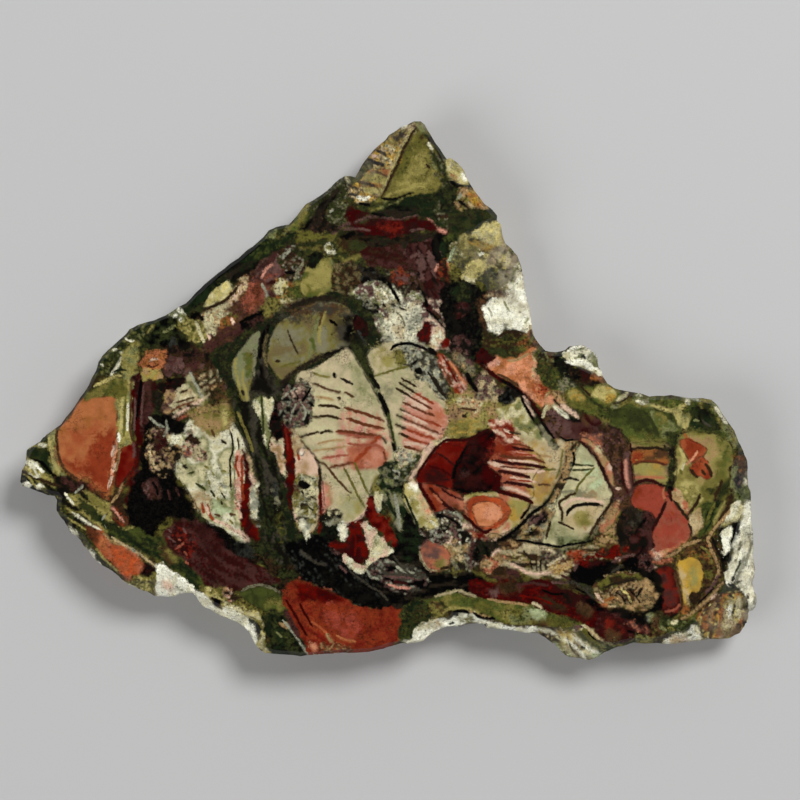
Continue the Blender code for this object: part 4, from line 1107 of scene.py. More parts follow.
soft mustard straw: 638,466 650,464 662,467 662,475 650,477 638,474
1.4/0.8 umber: 630,450 640,448 656,448 668,450
1.2/0.8 sienna: 634,464 642,462 654,462 666,465
1.2/1.2 clay: 635,478 648,477 664,478
smooth garnet garnet brick: 632,496 636,487 644,483 654,483 662,486 668,492 668,502 664,512 658,520 650,512
 640,509 631,504
1.7/0.8 maroon: 634,485 642,481 652,481 667,488 670,496
mottled soot char moss: 667,450 673,446 678,452 678,464 675,476 674,488 668,490 668,476 670,462
1.8 black: 669,488 676,491
1.0 maroon: 630,444 632,452
# The olive yellow ground with the brick patches.
smooth khaki straw olive: 676,448 684,433 714,434 726,440 733,450 733,464 729,478 724,490 716,500 704,512
 694,520 684,516 674,500 677,470
hazy tan straw khaki: 686,434 700,435 712,440 720,450 718,464 712,474 704,480 690,480 682,470 680,456
 682,444
hazy olive leaf khaki: 716,436 726,440 732,450 731,464 726,478 720,472 722,458 720,446
soft straw butter: 680,484 692,482 702,492 694,504 682,500
soft olive khaki: 706,482 718,478 716,492 706,500
smooth terracotta brick rust: 680,441 686,439 702,445 706,450 703,456 698,458 694,463 689,460 682,448
smooth brick terracotta rust: 690,466 701,457 705,459 712,471 711,478 705,479 700,476 696,478 691,473
1.4 rust: 686,438 702,446
1.0 peach: 698,451 694,457 687,464
1.4 umber: 690,470 697,477 / 705,464 709,470 711,477
1.2 umber: 702,470 705,475
1.4 amber: 684,434 687,438
1.7 butter: 675,474 681,466 684,458 680,449
1.0 cream: 684,463 682,470
1.2 olive: 680,470 682,474
# Tan, green and streaked ground below them.
plain tan sand clay: 672,488 679,490 685,500 693,502 692,510 688,517 674,500
plain straw khaki butter: 680,488 694,486 701,494 700,502 694,508 686,502
plain sand tan straw: 687,520 700,508 703,516 702,530 696,535 690,537 691,528
streaked/115 fern moss leaf pine: 701,506 710,502 722,502 726,506 713,526 706,533 700,536 702,522
streaked/115 umber olive moss: 706,494 718,484 730,480 740,502 730,508 722,520 712,532 716,516 722,502
mottled umber soot brown char sage: 731,462 737,457 744,460 749,470 750,490 742,500 735,497 729,486
mottled black mauve sage soot: 733,474 742,474 744,486 736,490 732,482
soft brown umber amber: 734,456 744,458 747,468 738,470
1.5 bone: 744,480 745,486 743,492
mottled leaf bone sage fern: 738,490 746,486 751,492 751,500 742,504 736,502
1.5 umber: 700,495 696,504 686,519
1.3 umber: 722,480 714,500
1.5 straw: 725,502 714,523
1.3 olive: 715,504 706,524
1.8 umber: 729,503 716,525
# The brick field at the right.
smooth garnet dusk garnet: 651,536 661,512 666,500 670,497 687,518 689,526 692,532 688,539 682,544 665,554
 657,553 651,546
soft dusk garnet: 653,538 662,534 668,542 662,552 654,550
1.6 maroon: 666,502 651,531 632,551
1.4 umber: 674,502 686,516 688,520
1.0 umber: 689,524 692,531 690,536
1.0 clay: 664,487 663,494 666,500
1.4 maroon: 669,490 672,501
1.0 rust: 671,512 674,515
plain plum maroon soot: 636,530 646,530 652,534 652,560 646,572 634,554 628,548
1.2 black: 644,546 636,560
# The rings around the mustard core.
mottled umber moss olive brown: 660,564 684,548 706,534 714,530 722,528 722,545 727,556 729,566 726,578
 710,598 690,614 682,620 678,612 682,600 680,584 676,570 668,566
plain clay salmon tan: 650,551 658,553 666,550 684,540 690,538 668,555 661,558 653,557
soft peach blush: 652,552 660,554 664,553 660,558 654,557
mottled clay brown mauve: 650,560 660,561 670,557 668,564 651,566
1.5 blush: 651,567 655,567
mottled brown amber olive umber: 678,558 690,549 702,544 708,548 712,558 709,563 688,557
mottled umber brown olive: 700,562 708,561 713,569 712,582 706,591 699,597 702,584 703,572
smooth mustard gold mustard: 677,563 684,559 693,557 700,561 703,570 702,582 699,591 688,600 686,609 683,600
 682,590
soft gold straw: 690,568 697,566 699,576 697,588 691,588 688,578
soft gold sand: 677,563 681,562 688,592 688,606 684,600 682,586
plain soot umber: 689,597 695,593 699,597 696,604 690,604
mottled amber umber brown olive: 681,604 690,610 686,616 680,618 679,612
1.4 tan: 666,558 688,544 700,540
1.2 brown: 684,552 694,547 704,545
1.3 tan: 735,503 729,512 709,537 710,545 718,565 718,574 713,583
1.4 mauve: 718,576 712,586 706,592
1.6 soot: 712,538 722,560 724,570
1.0 black: 712,590 698,604
1.0 khaki: 700,546 708,552 712,562
plain plum umber soot: 700,610 716,594 722,594 720,602 712,610 704,614
1.3 tan: 722,583 711,597 696,609 682,619
1.6/1.0 blush: 711,599 716,595
smooth maroon plum red maroon: 656,570 664,566 673,568 677,575 682,600 680,610 674,616 666,616 660,608
 662,594 660,580
soft red plum: 664,592 674,590 678,602 668,606
1.3 brown: 675,572 681,598 681,608
1.0/1.0 dusk: 666,612 674,610 680,604
1.2 black: 670,618 676,614
# The beige breccia in the black ground left of them.
plain black soot: 610,566 626,566 640,568 652,568 660,576 663,590 664,602 656,612 640,614 622,614 610,610
 604,596 606,580
plain black: 621,563 628,558 636,557 642,561 640,567 630,570 622,568
mottled plum mauve black: 640,556 650,558 652,568 644,570
1.0/1.0 mauve: 612,562 626,556 634,555
1.0/1.0 smoke: 612,572 622,565
streaked/-14 tan umber khaki soot sand olive brown: 595,584 618,572 632,572 644,577 652,585 657,593 656,602
 650,608 640,610 616,608 606,607 600,603 594,594
mottled tan umber black sand soot brown: 606,590 618,586 634,584 648,588 654,596 648,606 630,604 612,602
streaked/-10 olive char moss umber: 598,582 610,577 632,574 642,580 622,584 602,592
soft dun tan: 638,597 645,594 652,598 650,605 641,606
0.8/1.0 tan: 636,600 636,592 640,587 647,587 652,592
0.8/0.9 soot: 628,589 634,594 640,602 / 642,588 638,596 / 616,592 622,597 626,604
0.8/0.9 primrose: 620,588 627,594 631,602
1.0 char: 606,588 614,584 634,580
1.6/1.1 amber: 604,601 613,597
1.2/1.0 orange: 602,604 607,605
1.1/1.0 blush: 595,594 603,602
0.9/1.0 tan: 612,594 616,589 621,589
# The lower right edge.
streaked/15 maroon blood plum maroon: 596,616 606,612 632,616 642,622 650,630 654,640 644,641 632,640
 620,644 606,643 598,636
soft maroon red: 602,620 616,618 624,624 622,634 608,632
soft brown umber: 606,630 618,632 622,640 608,641
plain black soot: 622,613 648,616 654,624 652,634 634,622 624,619
mottled mauve clay plum: 624,620 630,620 646,630 651,635 646,636 627,627
1.2 black: 628,630 648,638
mottled slate ash sage: 646,616 652,613 658,617 652,622 647,620
mottled khaki sage moss: 598,645 610,643 624,643 636,638 648,637 660,638 666,642 656,645 640,645 626,648
 602,657
mottled umber olive brown: 650,622 658,618 664,622 668,630 664,640 656,640 651,634
mottled moss pine sage fern: 660,620 672,618 684,622 694,618 700,612 700,624 694,630 672,635 666,632
2.0 cream: 672,623 677,621
1.8 sage: 660,627 665,630
1.4 khaki: 668,628 674,630
streaked/-72 amber gold umber soot primrose brown: 699,612 722,594 732,590 740,594 742,606 742,622 738,632
 726,638 712,639 702,637 698,626
mottled amber umber gold brown: 701,618 710,612 714,620 708,630 702,628
mottled butter cream sand: 727,600 733,596 736,604 731,628 726,636 721,632
plain butter ivory: 730,598 733,606 730,618 727,626 727,612
2.0 cream: 738,596 737,606 738,618
1.6 tan: 714,602 708,620
2.6 umber: 738,622 735,629 731,634
1.2 amber: 722,608 716,632
1.0 umber: 733,604 731,616
plain bone cream ivory: 663,642 681,632 697,626 700,633 706,638 720,640 732,638 741,632 747,622 748,610
 753,610 753,622 748,632 742,638 732,642 700,643 684,646 663,646
soft sand blush: 668,640 680,636 686,640 674,643
1.0 sage: 686,636 692,634
# The white ribs of the right edge.
plain ivory bone: 744,506 749,499 753,502 753,520 754,540 755,556 759,576 755,583 754,590 759,597 761,604
 759,612 752,611 751,620 746,622 743,594 727,583 728,568 731,552 736,534
plain butter cream bone: 730,506 738,500 742,504 739,512 733,520 721,530 727,520
plain cream butter: 734,516 738,512 741,518 736,533 733,526
plain black soot moss: 716,532 724,526 736,520 740,512 743,516 736,536 728,566 724,562 720,552
plain ivory bone: 723,533 728,526 733,524 734,529 726,554 723,548 721,540
1.3 cream: 742,505 740,513 736,520
1.3 ash: 751,541 745,560 741,568
1.1 stone: 741,541 735,562
1.3 moss: 740,560 733,580
1.6 black: 732,577 733,580
1.1 ash: 744,556 735,583
1.5 char: 747,592 744,614 741,624
1.2 moss: 730,586 740,580
1.6 soot: 728,584 734,587
1.0 bone: 752,584 748,590
0.9 ash: 754,590 753,604
"""

# The mesh, lengths in metres.
TOP_GRID = 0.00041  # from point to point on the polished face
BACK_GRID = 0.00100  # from point to point on the sawn back
SHELL_CUTS = 2  # new points on each edge of the rim and the sides
DENTS = ((0.0045, 0.9), (0.0016, 0.6))  # size of each kind of dent in the rim, and its share
DENT_DEPTH = 0.0006
DENT_TAPER = 0.0009  # the dents fade out within this of the polished face and of the back
SLOPE_GAIN = 5.0  # a face that looks up by more than 1 / 5 is dented straight down
SAME_PLACE = 1e-6
FILL_TOLERANCE = 1e-7
LEAST_GAP = 0.00012  # between the edge of a flat face and an edge along one of its lines
GRID_GAP = 0.45  # between a grid's own points and the others, as a share of its spacing
POLISH, RIM, BACK = 0, 1, 2  # the parts of the surface, by the number of their material

# The noise that bends and colours the markings, lengths in pixels.
NOISE_CELLS = 128  # after so many lumps the noise repeats
OCTAVE_SHIFT = 37.3  # lumps that each finer layer of noise is moved by
NOISE_GAIN = 1.6
EDGE_LUMPS = 7.0  # size of the bays and bulges of a patch's edge
LINE_LUMPS = 9.0  # size of the bends of a line
LINE_WANDER = 0.6  # how far a line wanders
LINE_SEEDS = 100  # seeds kept for each row of lines
EDGE_SEEDS = (1000, 2000)  # before the first patch's, across and along the photograph
COLOUR_SEEDS = 3000

# The shapes of the markings, in pixels.
OUTLINE_STEP = 3.0  # between the points of a rounded outline
LINE_STEP = 2.0  # between the points of a rounded line
LEAST_SOFTNESS = 0.35  # of the thinnest line's edge
LINE_SOFTNESS = 0.3  # more for each pixel of a line's half width
LINE_SPREAD = 0.2  # added to a line's half width, because its soft edge makes it look thinner
LINE_ENDS = 0.6  # half width of a line at its ends, as a share
LINE_TAPER = 12.0  # a line is fully wide from 1 / 12 of its length inwards
SEAM_WIDTH = 1.5  # half width of the dark seam round a crisp patch
CRISP = 1.0  # patches with edges less soft than this have such a seam
EDGE_MARGIN = 3.4  # round a shape, where its edge value still has to be right
OUTERMOST = 2.1  # at the outside of that, where a shape on a settled ground has the ground's colour
EDGE_LIMIT = 4.0  # how far the edge value of a shape counts on, in units of its softness
LEVELS = 14  # how many shapes can lie over each other at one place before they settle into the ground
DEPTH_SHRINK = 0.03  # share that the markings draw together by from the face to the back
CRUST_RISE = 4.0  # how fast the crust comes in from the polished face to the back
CRUST_START = 0.6  # how late it starts, on the same scale

# The colours.
DEEPENING = 1.08  # power that every colour is deepened by
BLACK_POINT = 0.003  # taken off every colour, so that the darkest ones are black
DARK_FLECK = (0.005, 0.004, 0.003, 1.0)
LIGHT_FLECK = (0.62, 0.60, 0.52, 1.0)
CRUST_DARK = (0.16, 0.10, 0.05, 1.0)
CRUST_LIGHT = (0.42, 0.36, 0.24, 1.0)
SAWN_DUST = (0.3, 0.27, 0.2, 1.0)
FLECK_SHIFT = (0.31, 0.17, 0.05)  # metres that keep the cracks and light flecks off the dark flecks
SAWN_DULLNESS = 0.25
CRACKS = (("long cracks", 0.016, 0.5), ("short cracks", 0.022, 0.56))  # kind, width, and how rare it is
CRACK_FADE = 0.12  # how gently the cracks begin and end
EDGE_SHAKE = (1.1, 0.6)  # how far the edge grain and the fine grain move an edge, in units of its softness
LIGHT_SHARE, DARK_SHARE, CRACK_SHARE = 0.32, 0.22, 0.2  # what the flecks of a style add to their noise

# The noises of the materials: the size of their lumps in pixels, their detail and their roughness.
NOISES = {
    "fine grain": (1.3, 2.0, 0.55),
    "edge grain": (3.5, 3.0, 0.55),
    "coarse grain": (5.0, 4.0, 0.7),
    "clouds": (15.0, 3.0, 0.55),
    "light flecks": (2.8, 3.0, 0.6),
    "dark flecks": (2.6, 3.0, 0.6),
    "long cracks": (16.0, 5.0, 0.6),
    "short cracks": (7.0, 5.0, 0.6),
    "cracked zones": (22.0, 3.0, 0.55),
    "seams": (4.0, 4.0, 0.55),
    "crust": (12.0, 4.0, 0.55),
    "crust tone": (30.0, 3.0, 0.55),
    "rim lumps": (7.0, 5.0, 0.65),
    "rim grit": (2.2, 3.0, 0.55),
}

# Between which values of its noise each layer comes in.
EDGE_RANGE = (0.2, 0.8)
GRAIN_RANGE = (1.0, 2.0)  # three noises together
LIGHT_RANGE = (0.72, 0.86)
DARK_RANGE = (0.66, 0.76)
SEAM_RANGE = (1.05, 1.5)  # with the seam's own value
CRUST_RANGE = (0.42, 0.62)
TONE_RANGE = (0.4, 0.6)

# How strongly each layer of the shared colour shows, by the names of the shader group's inputs.
LAYERS = {"Grain": 0.62, "Light Flecks": 0.9, "Dark Flecks": 0.8, "Cracks": 0.75, "Seams": 0.7}


def marking(text):
    """A row of the markings as its style or half width, its colours, its places and what its stroke says."""
    kind, places = text.split(": ")
    first, colours = kind.split(" ", 1)
    first, _, setting = first.partition("/")
    if first not in STYLES:
        first = float(first)
    return first, colours, places, float(setting) if setting else None


def outline_points(text):
    """The points of an outline written as x,y pairs, in pixels of the photograph."""
    return np.array([[float(value) for value in pair.split(",")] for pair in text.split()])


def rounded(points, closed, step):
    """A smooth curve through the points, with a point about every step pixels."""
    count = len(points)
    spans = count if closed else count - 1
    result = []
    for k in range(spans):
        if closed:
            before, start, end, after = (points[(k + j) % count] for j in (-1, 0, 1, 2))
        else:
            before, start, end, after = (points[min(max(k + j, 0), count - 1)] for j in (-1, 0, 1, 2))
        pieces = max(1, math.ceil(np.linalg.norm(end - start) / step))
        for t in np.arange(pieces) / pieces:
            result.append(0.5 * (
                2 * start + (end - before) * t + (2 * before - 5 * start + 4 * end - after) * t ** 2
                + (3 * start - before - 3 * end + after) * t ** 3
            ))
    if not closed:
        result.append(points[-1])
    return np.array(result)


def eased(share):
    """A share from 0 to 1 that starts and ends gently."""
    return share * share * (3 - 2 * share)


def plane_noise(points, size, seed, octaves=3):
    """Smooth noise over the plane, from about -1 to 1, with lumps of the given size in pixels."""
    table = np.random.default_rng(seed).uniform(-1.0, 1.0, (NOISE_CELLS, NOISE_CELLS))
    total = np.zeros(len(points))
    weight = 0.0
    for octave in range(octaves):
        grid = points / size * 2 ** octave + OCTAVE_SHIFT * octave
        cell = np.floor(grid).astype(int)
        share = eased(grid - cell)
        x0, y0 = cell[:, 0] % NOISE_CELLS, cell[:, 1] % NOISE_CELLS
        x1, y1 = (x0 + 1) % NOISE_CELLS, (y0 + 1) % NOISE_CELLS
        low = table[x0, y0] + (table[x1, y0] - table[x0, y0]) * share[:, 0]
        high = table[x0, y1] + (table[x1, y1] - table[x0, y1]) * share[:, 0]
        total += (low + (high - low) * share[:, 1]) * 0.5 ** octave
        weight += 0.5 ** octave
    return total / weight * NOISE_GAIN


def stretched(points, angle):
    """Points turned so that streaks in a direction lie along x, and pressed together along it."""
    turn = math.radians(angle)
    along = points @ np.array([math.cos(turn), math.sin(turn)])
    across = points @ np.array([-math.sin(turn), math.cos(turn)])
    return np.column_stack([along / STRETCH, across])


def nearest_on_line(points, line, closed):
    """How far each point is from a line, and how far along the line, from 0 to 1, its nearest place is."""
    starts = line if closed else line[:-1]
    ends = np.roll(line, -1, axis=0) if closed else line[1:]
    nearest = np.full(len(points), np.inf)
    place = np.zeros(len(points))
    for k, (start, end) in enumerate(zip(starts, ends)):
        along = end - start
        share = np.clip((points - start) @ along / max(along @ along, 1e-12), 0.0, 1.0)
        gap = points - start - share[:, None] * along
        gap = np.hypot(gap[:, 0], gap[:, 1])
        closer = gap < nearest
        nearest[closer] = gap[closer]
        place[closer] = (k + share[closer]) / len(starts)
    return nearest, place


def inside(points, outline):
    """Whether each point lies within a closed outline."""
    x, y = points[:, 0], points[:, 1]
    within = np.zeros(len(points), bool)
    for (x0, y0), (x1, y1) in zip(outline, np.roll(outline, -1, axis=0)):
        if y0 == y1:
            continue
        crosses = (y0 > y) != (y1 > y)
        within ^= crosses & (x < x0 + (x1 - x0) * (y - y0) / (y1 - y0))
    return within


def depth_inside(points, outline):
    """How deep each point lies within a closed outline, and less than 0 outside it."""
    away, _ = nearest_on_line(points, outline, True)
    return np.where(inside(points, outline), away, -away)


def near_box(points, line, margin):
    """The indices of the points that lie within the box round a line, with a margin."""
    low, high = line.min(axis=0) - margin, line.max(axis=0) + margin
    return np.nonzero(((points > low) & (points < high)).all(axis=1))[0]


def linear(name):
    """A colour by its name, taken off the screen's curve as the shader takes it, and deepened."""
    value = np.array(COLOURS[name]) / 255.0
    value = np.where(value <= 0.04045, value / 12.92, ((value + 0.055) / 1.055) ** 2.4)
    return np.maximum(value ** DEEPENING - BLACK_POINT, 0.0)


def drifting(points, names, size, contrast, seed):
    """Colours that drift into each other over the plane."""
    ramp = np.array([linear(name) for name in names.split()])
    share = np.clip(0.5 + contrast * plane_noise(points, size, seed), 0.0, 1.0) * (len(ramp) - 1)
    first = np.minimum(share.astype(int), len(ramp) - 2)
    share = (share - first)[:, None]
    return ramp[first] * (1 - share) + ramp[first + 1] * share


# The mesh of the stone.


def photo_points(points):
    """Places on the stone, in metres, as pixels of the photograph."""
    return np.column_stack([
        STONE_MIDDLE[0] + points[:, 0] / PIXEL, STONE_MIDDLE[1] - points[:, 1] / PIXEL
    ])


def stone_points(points):
    """Pixels of the photograph as places on the stone, in metres."""
    return np.column_stack([
        (points[:, 0] - STONE_MIDDLE[0]) * PIXEL, (STONE_MIDDLE[1] - points[:, 1]) * PIXEL
    ])


def boundary_loops(mesh):
    """The open edges of a mesh as loops of vertices."""
    loops = []
    left = {edge for edge in mesh.edges if len(edge.link_faces) == 1}
    while left:
        edge = left.pop()
        loop = [edge.verts[0], edge.verts[1]]
        while True:
            following = next((e for e in loop[-1].link_edges if e in left), None)
            if following is None:
                break
            left.discard(following)
            loop.append(following.other_vert(loop[-1]))
        loops.append(loop[:-1] if loop[0] == loop[-1] else loop)
    return loops


def dent(place, normal):
    """How the rim is dented at a place: down where it looks up, inward at the sides, and never outward."""
    away = min(CAD_HIGH.z - place.z, place.z - CAD_LOW.z)
    lump = 0.5 + sum(share * space_noise.noise(place / size) for size, share in DENTS)
    depth = DENT_DEPTH * min(away / DENT_TAPER, 1.0) * min(max(lump, 0.0), 1.0)
    sideways = 1.0 - min(max(SLOPE_GAIN * normal.z, 0.0), 1.0)
    return -depth * Vector((sideways * normal.x, sideways * normal.y, max(normal.z, 0.0)))


def shell_mesh():
    """The rim and the sides of the CAD stone, finely divided, open above and below."""
    mesh = bmesh.new()
    mesh.from_mesh(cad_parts[NODE].data)
    bmesh.ops.remove_doubles(mesh, verts=mesh.verts, dist=SAME_PLACE)
    flat = [
        face for face in mesh.faces
        if any(
            all(abs(vert.co.z - height) < 2 * SAME_PLACE for vert in face.verts)
            for height in (CAD_HIGH.z, CAD_LOW.z)
        )
    ]
    bmesh.ops.delete(mesh, geom=flat, context="FACES")
    bmesh.ops.subdivide_edges(mesh, edges=mesh.edges, cuts=SHELL_CUTS, use_grid_fill=True)
    bmesh.ops.triangulate(mesh, faces=mesh.faces)
    bmesh.ops.recalc_face_normals(mesh, faces=mesh.faces)
    mesh.normal_update()
    for vert, move in [(vert, dent(vert.co, vert.normal)) for vert in mesh.verts]:
        vert.co += move
    return mesh


def lattice(low, high, spacing):
    """Points on a triangular grid over a box."""
    rows = int((high[1] - low[1]) / (spacing * math.sqrt(3) / 2)) + 1
    columns = int((high[0] - low[0]) / spacing) + 1
    row, column = np.mgrid[0:rows, 0:columns]
    x = low[0] + (column + 0.5 * (row % 2)) * spacing
    y = low[1] + row * spacing * math.sqrt(3) / 2
    return np.column_stack([x.ravel(), y.ravel()])


def clear_of(points, other, gap):
    """Those points that are further than a gap from all the other points."""
    cells = {}
    for k, (x, y) in enumerate(np.floor(other / gap).astype(int)):
        cells.setdefault((x, y), []).append(k)
    kept = []
    for point, (x, y) in zip(points, np.floor(points / gap).astype(int)):
        close = [k for i in (-1, 0, 1) for j in (-1, 0, 1) for k in cells.get((x + i, y + j), ())]
        if not close or np.hypot(*(other[close] - point).T).min() > gap:
            kept.append(point)
    return np.array(kept)


def filled(loop, spacing, lines):
    """A flat face within a loop, on a triangular grid, with edges along the lines as well.

    The third result gives, for each of its points that lies on the loop, that point's number there.
    """
    inner = lattice(loop.min(axis=0), loop.max(axis=0), spacing)
    inner = inner[inside(inner, loop)]
    held = [loop]
    edges = [(k, (k + 1) % len(loop)) for k in range(len(loop))]
    total = len(loop)
    if lines:
        places = np.vstack(lines)
        away, _ = nearest_on_line(places, loop, True)
        clear = inside(places, loop) & (away > LEAST_GAP)
        held.append(places)
        for line in lines:
            for k in range(total, total + len(line) - 1):
                if clear[k - len(loop)] and clear[k + 1 - len(loop)]:
                    edges.append((k, k + 1))
            total += len(line)
    held = np.vstack(held)
    used = np.zeros(len(held), bool)
    used[: len(loop)] = True
    used[np.array(edges).ravel()] = True
    number = np.cumsum(used) - 1
    edges = [(int(number[a]), int(number[b])) for a, b in edges]
    held = held[used]
    inner = clear_of(inner, held, spacing * GRID_GAP)
    everything = np.vstack([held, inner])
    points, _, faces, originals, _, _ = geometry.delaunay_2d_cdt(
        [Vector(point) for point in everything], edges, [], 1, FILL_TOLERANCE
    )
    order = {}
    for new, olds in enumerate(originals):
        for old in olds:
            if old < len(loop):
                order[new] = old
    return np.array([tuple(point) for point in points]), faces, order


def stone_arrays(lines):
    """The whole stone as points, triangles, and the part of the surface that each triangle is in."""
    shell = shell_mesh()
    loops = boundary_loops(shell)
    top = max(loops, key=lambda loop: min(vert.co.z for vert in loop))
    back = min(loops, key=lambda loop: max(vert.co.z for vert in loop))
    shell.verts.index_update()
    points = [tuple(vert.co) for vert in shell.verts]
    triangles = [tuple(vert.index for vert in face.verts) for face in shell.faces]
    kinds = [RIM] * len(triangles)
    held_lines = [stone_points(line) for line in lines]
    for loop, height, spacing, held, kind in (
        (top, CAD_HIGH.z, TOP_GRID, held_lines, POLISH), (back, CAD_LOW.z, BACK_GRID, [], BACK)
    ):
        rim = np.array([vert.co.xy for vert in loop])
        flat, faces, order = filled(rim, spacing, held)
        number = []
        for k, (x, y) in enumerate(flat):
            if k in order:
                number.append(loop[order[k]].index)
            else:
                number.append(len(points))
                points.append((x, y, height))
        for a, b, c in faces:
            corners = flat[[a, b, c]]
            turn = np.cross(corners[1] - corners[0], corners[2] - corners[0])
            if (turn > 0) != (kind == POLISH):
                b, c = c, b
            triangles.append((number[a], number[b], number[c]))
            kinds.append(kind)
    shell.free()
    return np.array(points), np.array(triangles), np.array(kinds)


# The painting.


def middle_lines(number, text):
    """The middle lines of the thin lines in a row of the markings, each wandering a little."""
    lines = []
    for k, stroke in enumerate(text.split(" / ")):
        line = rounded(outline_points(stroke), False, LINE_STEP)
        seed = LINE_SEEDS * number + 2 * k
        wander = [plane_noise(line, LINE_LUMPS, seed + axis) for axis in (0, 1)]
        lines.append(line + LINE_WANDER * np.column_stack(wander))
    return lines


class Painting:
    """The markings at a set of places, as levels of shapes that lie over a ground."""

    def __init__(self, where, triangles):
        count = len(where)
        self.where = where
        self.triangles = triangles
        self.ground = drifting(where, *GROUND)
        self.flecks = np.tile(GROUND_FLECKS, (count, 1))
        self.seams = np.zeros(count)
        self.owner = np.full((LEVELS, count), -1)
        self.edge = np.full((LEVELS, count), -EDGE_LIMIT)
        self.colour = np.zeros((LEVELS, count, 3))
        self.shapes = []

    def settle(self, near):
        """Brings the colours of all the levels at and round some places down into the ground."""
        chosen = np.zeros(len(self.where), bool)
        chosen[near] = True
        ringed = np.unique(self.triangles[chosen[self.triangles].any(axis=1)])
        for level in range(LEVELS):
            share = eased(np.clip(0.5 + 0.5 * self.edge[level, ringed], 0.0, 1.0))[:, None]
            self.ground[ringed] = self.ground[ringed] * (1 - share) + self.colour[level, ringed] * share
        self.colour[:, ringed] = self.ground[ringed]
        self.owner[:, near] = -1
        self.edge[:, near] = -EDGE_LIMIT

    def add(self, near, edge, colours, key, outermost):
        """Puts a shape on the lowest level where it covers every shape that it should.

        Shapes with the same key may share a level, as their colours are alike where they meet.
        """
        level = LEVELS
        while level > 0:
            owners = np.unique(self.owner[level - 1, near])
            if owners[-1] >= 0:
                if all(owner < 0 or self.shapes[owner] == key for owner in owners):
                    level -= 1
                break
            level -= 1
        if level == LEVELS:
            self.settle(near)
            level = 0
            colours = np.where(outermost[:, None], self.ground[near], colours)
        better = (edge > self.edge[level, near]) | (self.owner[level, near] < 0)
        self.owner[level, near] = len(self.shapes)
        self.colour[level, near[better]] = colours[better]
        self.edge[level, near] = np.maximum(self.edge[level, near], edge)
        self.shapes.append(key)
        covered = near[edge >= EDGE_LIMIT]
        self.ground[covered] = colours[edge >= EDGE_LIMIT]
        self.owner[:level, covered] = -1
        self.edge[:level, covered] = -EDGE_LIMIT

    def patch(self, number, style, colours, text, angle=None):
        """One patch of the pattern, with streaks where it has an angle."""
        size, contrast, softness, wander, flecks = STYLES[style]
        outline = rounded(outline_points(text), True, OUTLINE_STEP)
        margin = EDGE_MARGIN + softness
        near = near_box(self.where, outline, margin + wander)
        places = self.where[near]
        moved = places + wander * np.column_stack([
            plane_noise(places, EDGE_LUMPS, seed + number) for seed in EDGE_SEEDS
        ])
        depth = depth_inside(moved, outline)
        close = depth > -margin
        near, depth = near[close], depth[close]
        places = self.where[near] if angle is None else stretched(self.where[near], angle)
        painted = drifting(places, colours, size, contrast, COLOUR_SEEDS + number)
        edge = np.clip(depth / softness, -EDGE_LIMIT, EDGE_LIMIT)
        self.add(near, edge, painted, ("patch", number), depth < OUTERMOST - margin)
        if flecks:
            share = np.clip(0.5 + 0.5 * depth, 0.0, 1.0)[:, None]
            self.flecks[near] = self.flecks[near] * (1 - share) + np.array(flecks) * share
            seam = np.exp(-(depth / SEAM_WIDTH) ** 2) * (softness < CRISP)
            self.seams[near] = np.maximum(self.seams[near] * np.clip(1 - 0.5 * depth, 0.0, 1.0), seam)

    def lines(self, number, half_width, colour, text, softness=None):
        """Thin lines of the pattern, which run out at both ends."""
        softness = softness or LEAST_SOFTNESS + LINE_SOFTNESS * half_width
        margin = EDGE_MARGIN + softness
        for middle in middle_lines(number, text):
            near = near_box(self.where, middle, half_width + margin)
            away, place = nearest_on_line(self.where[near], middle, False)
            taper = np.clip(LINE_TAPER * np.minimum(place, 1 - place), LINE_ENDS, 1.0)
            depth = (half_width + LINE_SPREAD) * taper - away
            close = depth > -margin
            near, depth = near[close], depth[close]
            edge = np.clip(depth / softness, -EDGE_LIMIT, EDGE_LIMIT)
            painted = np.tile(linear(colour), (len(near), 1))
            self.add(near, edge, painted, ("line", colour), depth < OUTERMOST - margin)


def paint(where, triangles, markings):
    """All the markings at the given places."""
    painting = Painting(where, triangles)
    for number, row in enumerate(markings):
        if isinstance(row[0], str):
            painting.patch(number, *row)
        else:
            painting.lines(number, *row)
    return painting


# The materials.


def node(tree, kind, inputs=(), **settings):
    """A node with its settings and inputs, each input a value or the socket that feeds it."""
    made = tree.nodes.new(kind)
    for name, value in settings.items():
        setattr(made, name, value)
    for name, value in dict(inputs).items():
        if isinstance(value, bpy.types.NodeSocket):
            tree.links.new(value, made.inputs[name])
        else:
            made.inputs[name].default_value = value
    return made


def attribute(tree, name):
    """A node that reads one of the mesh's own values."""
    return node(tree, "ShaderNodeAttribute", attribute_name=name)


def noise(tree, coordinates, kind):
    """One of the noises of the materials, from 0 to 1."""
    size, detail, roughness = NOISES[kind]
    return node(tree, "ShaderNodeTexNoise", {
        "Vector": coordinates, "Scale": 1 / (size * PIXEL), "Detail": detail, "Roughness": roughness,
    }).outputs["Fac"]


def ramp(tree, value, low, high, to_low=0.0, to_high=1.0, smooth=False):
    """A value brought from one range to another and held within it."""
    return node(tree, "ShaderNodeMapRange", {
        "Value": value, "From Min": low, "From Max": high, "To Min": to_low, "To Max": to_high,
    }, interpolation_type="SMOOTHSTEP" if smooth else "LINEAR").outputs["Result"]


def arithmetic(tree, operation, first, second):
    """Two values put together."""
    return node(tree, "ShaderNodeMath", {0: first, 1: second}, operation=operation).outputs["Value"]


def mixed_colour(tree, share, first, second, blend="MIX"):
    """The colour that comes from laying one colour over another, by the Mix node's sockets for colours."""
    mix = node(tree, "ShaderNodeMix", {0: share, 6: first, 7: second}, data_type="RGBA", blend_type=blend)
    return mix.outputs[2]


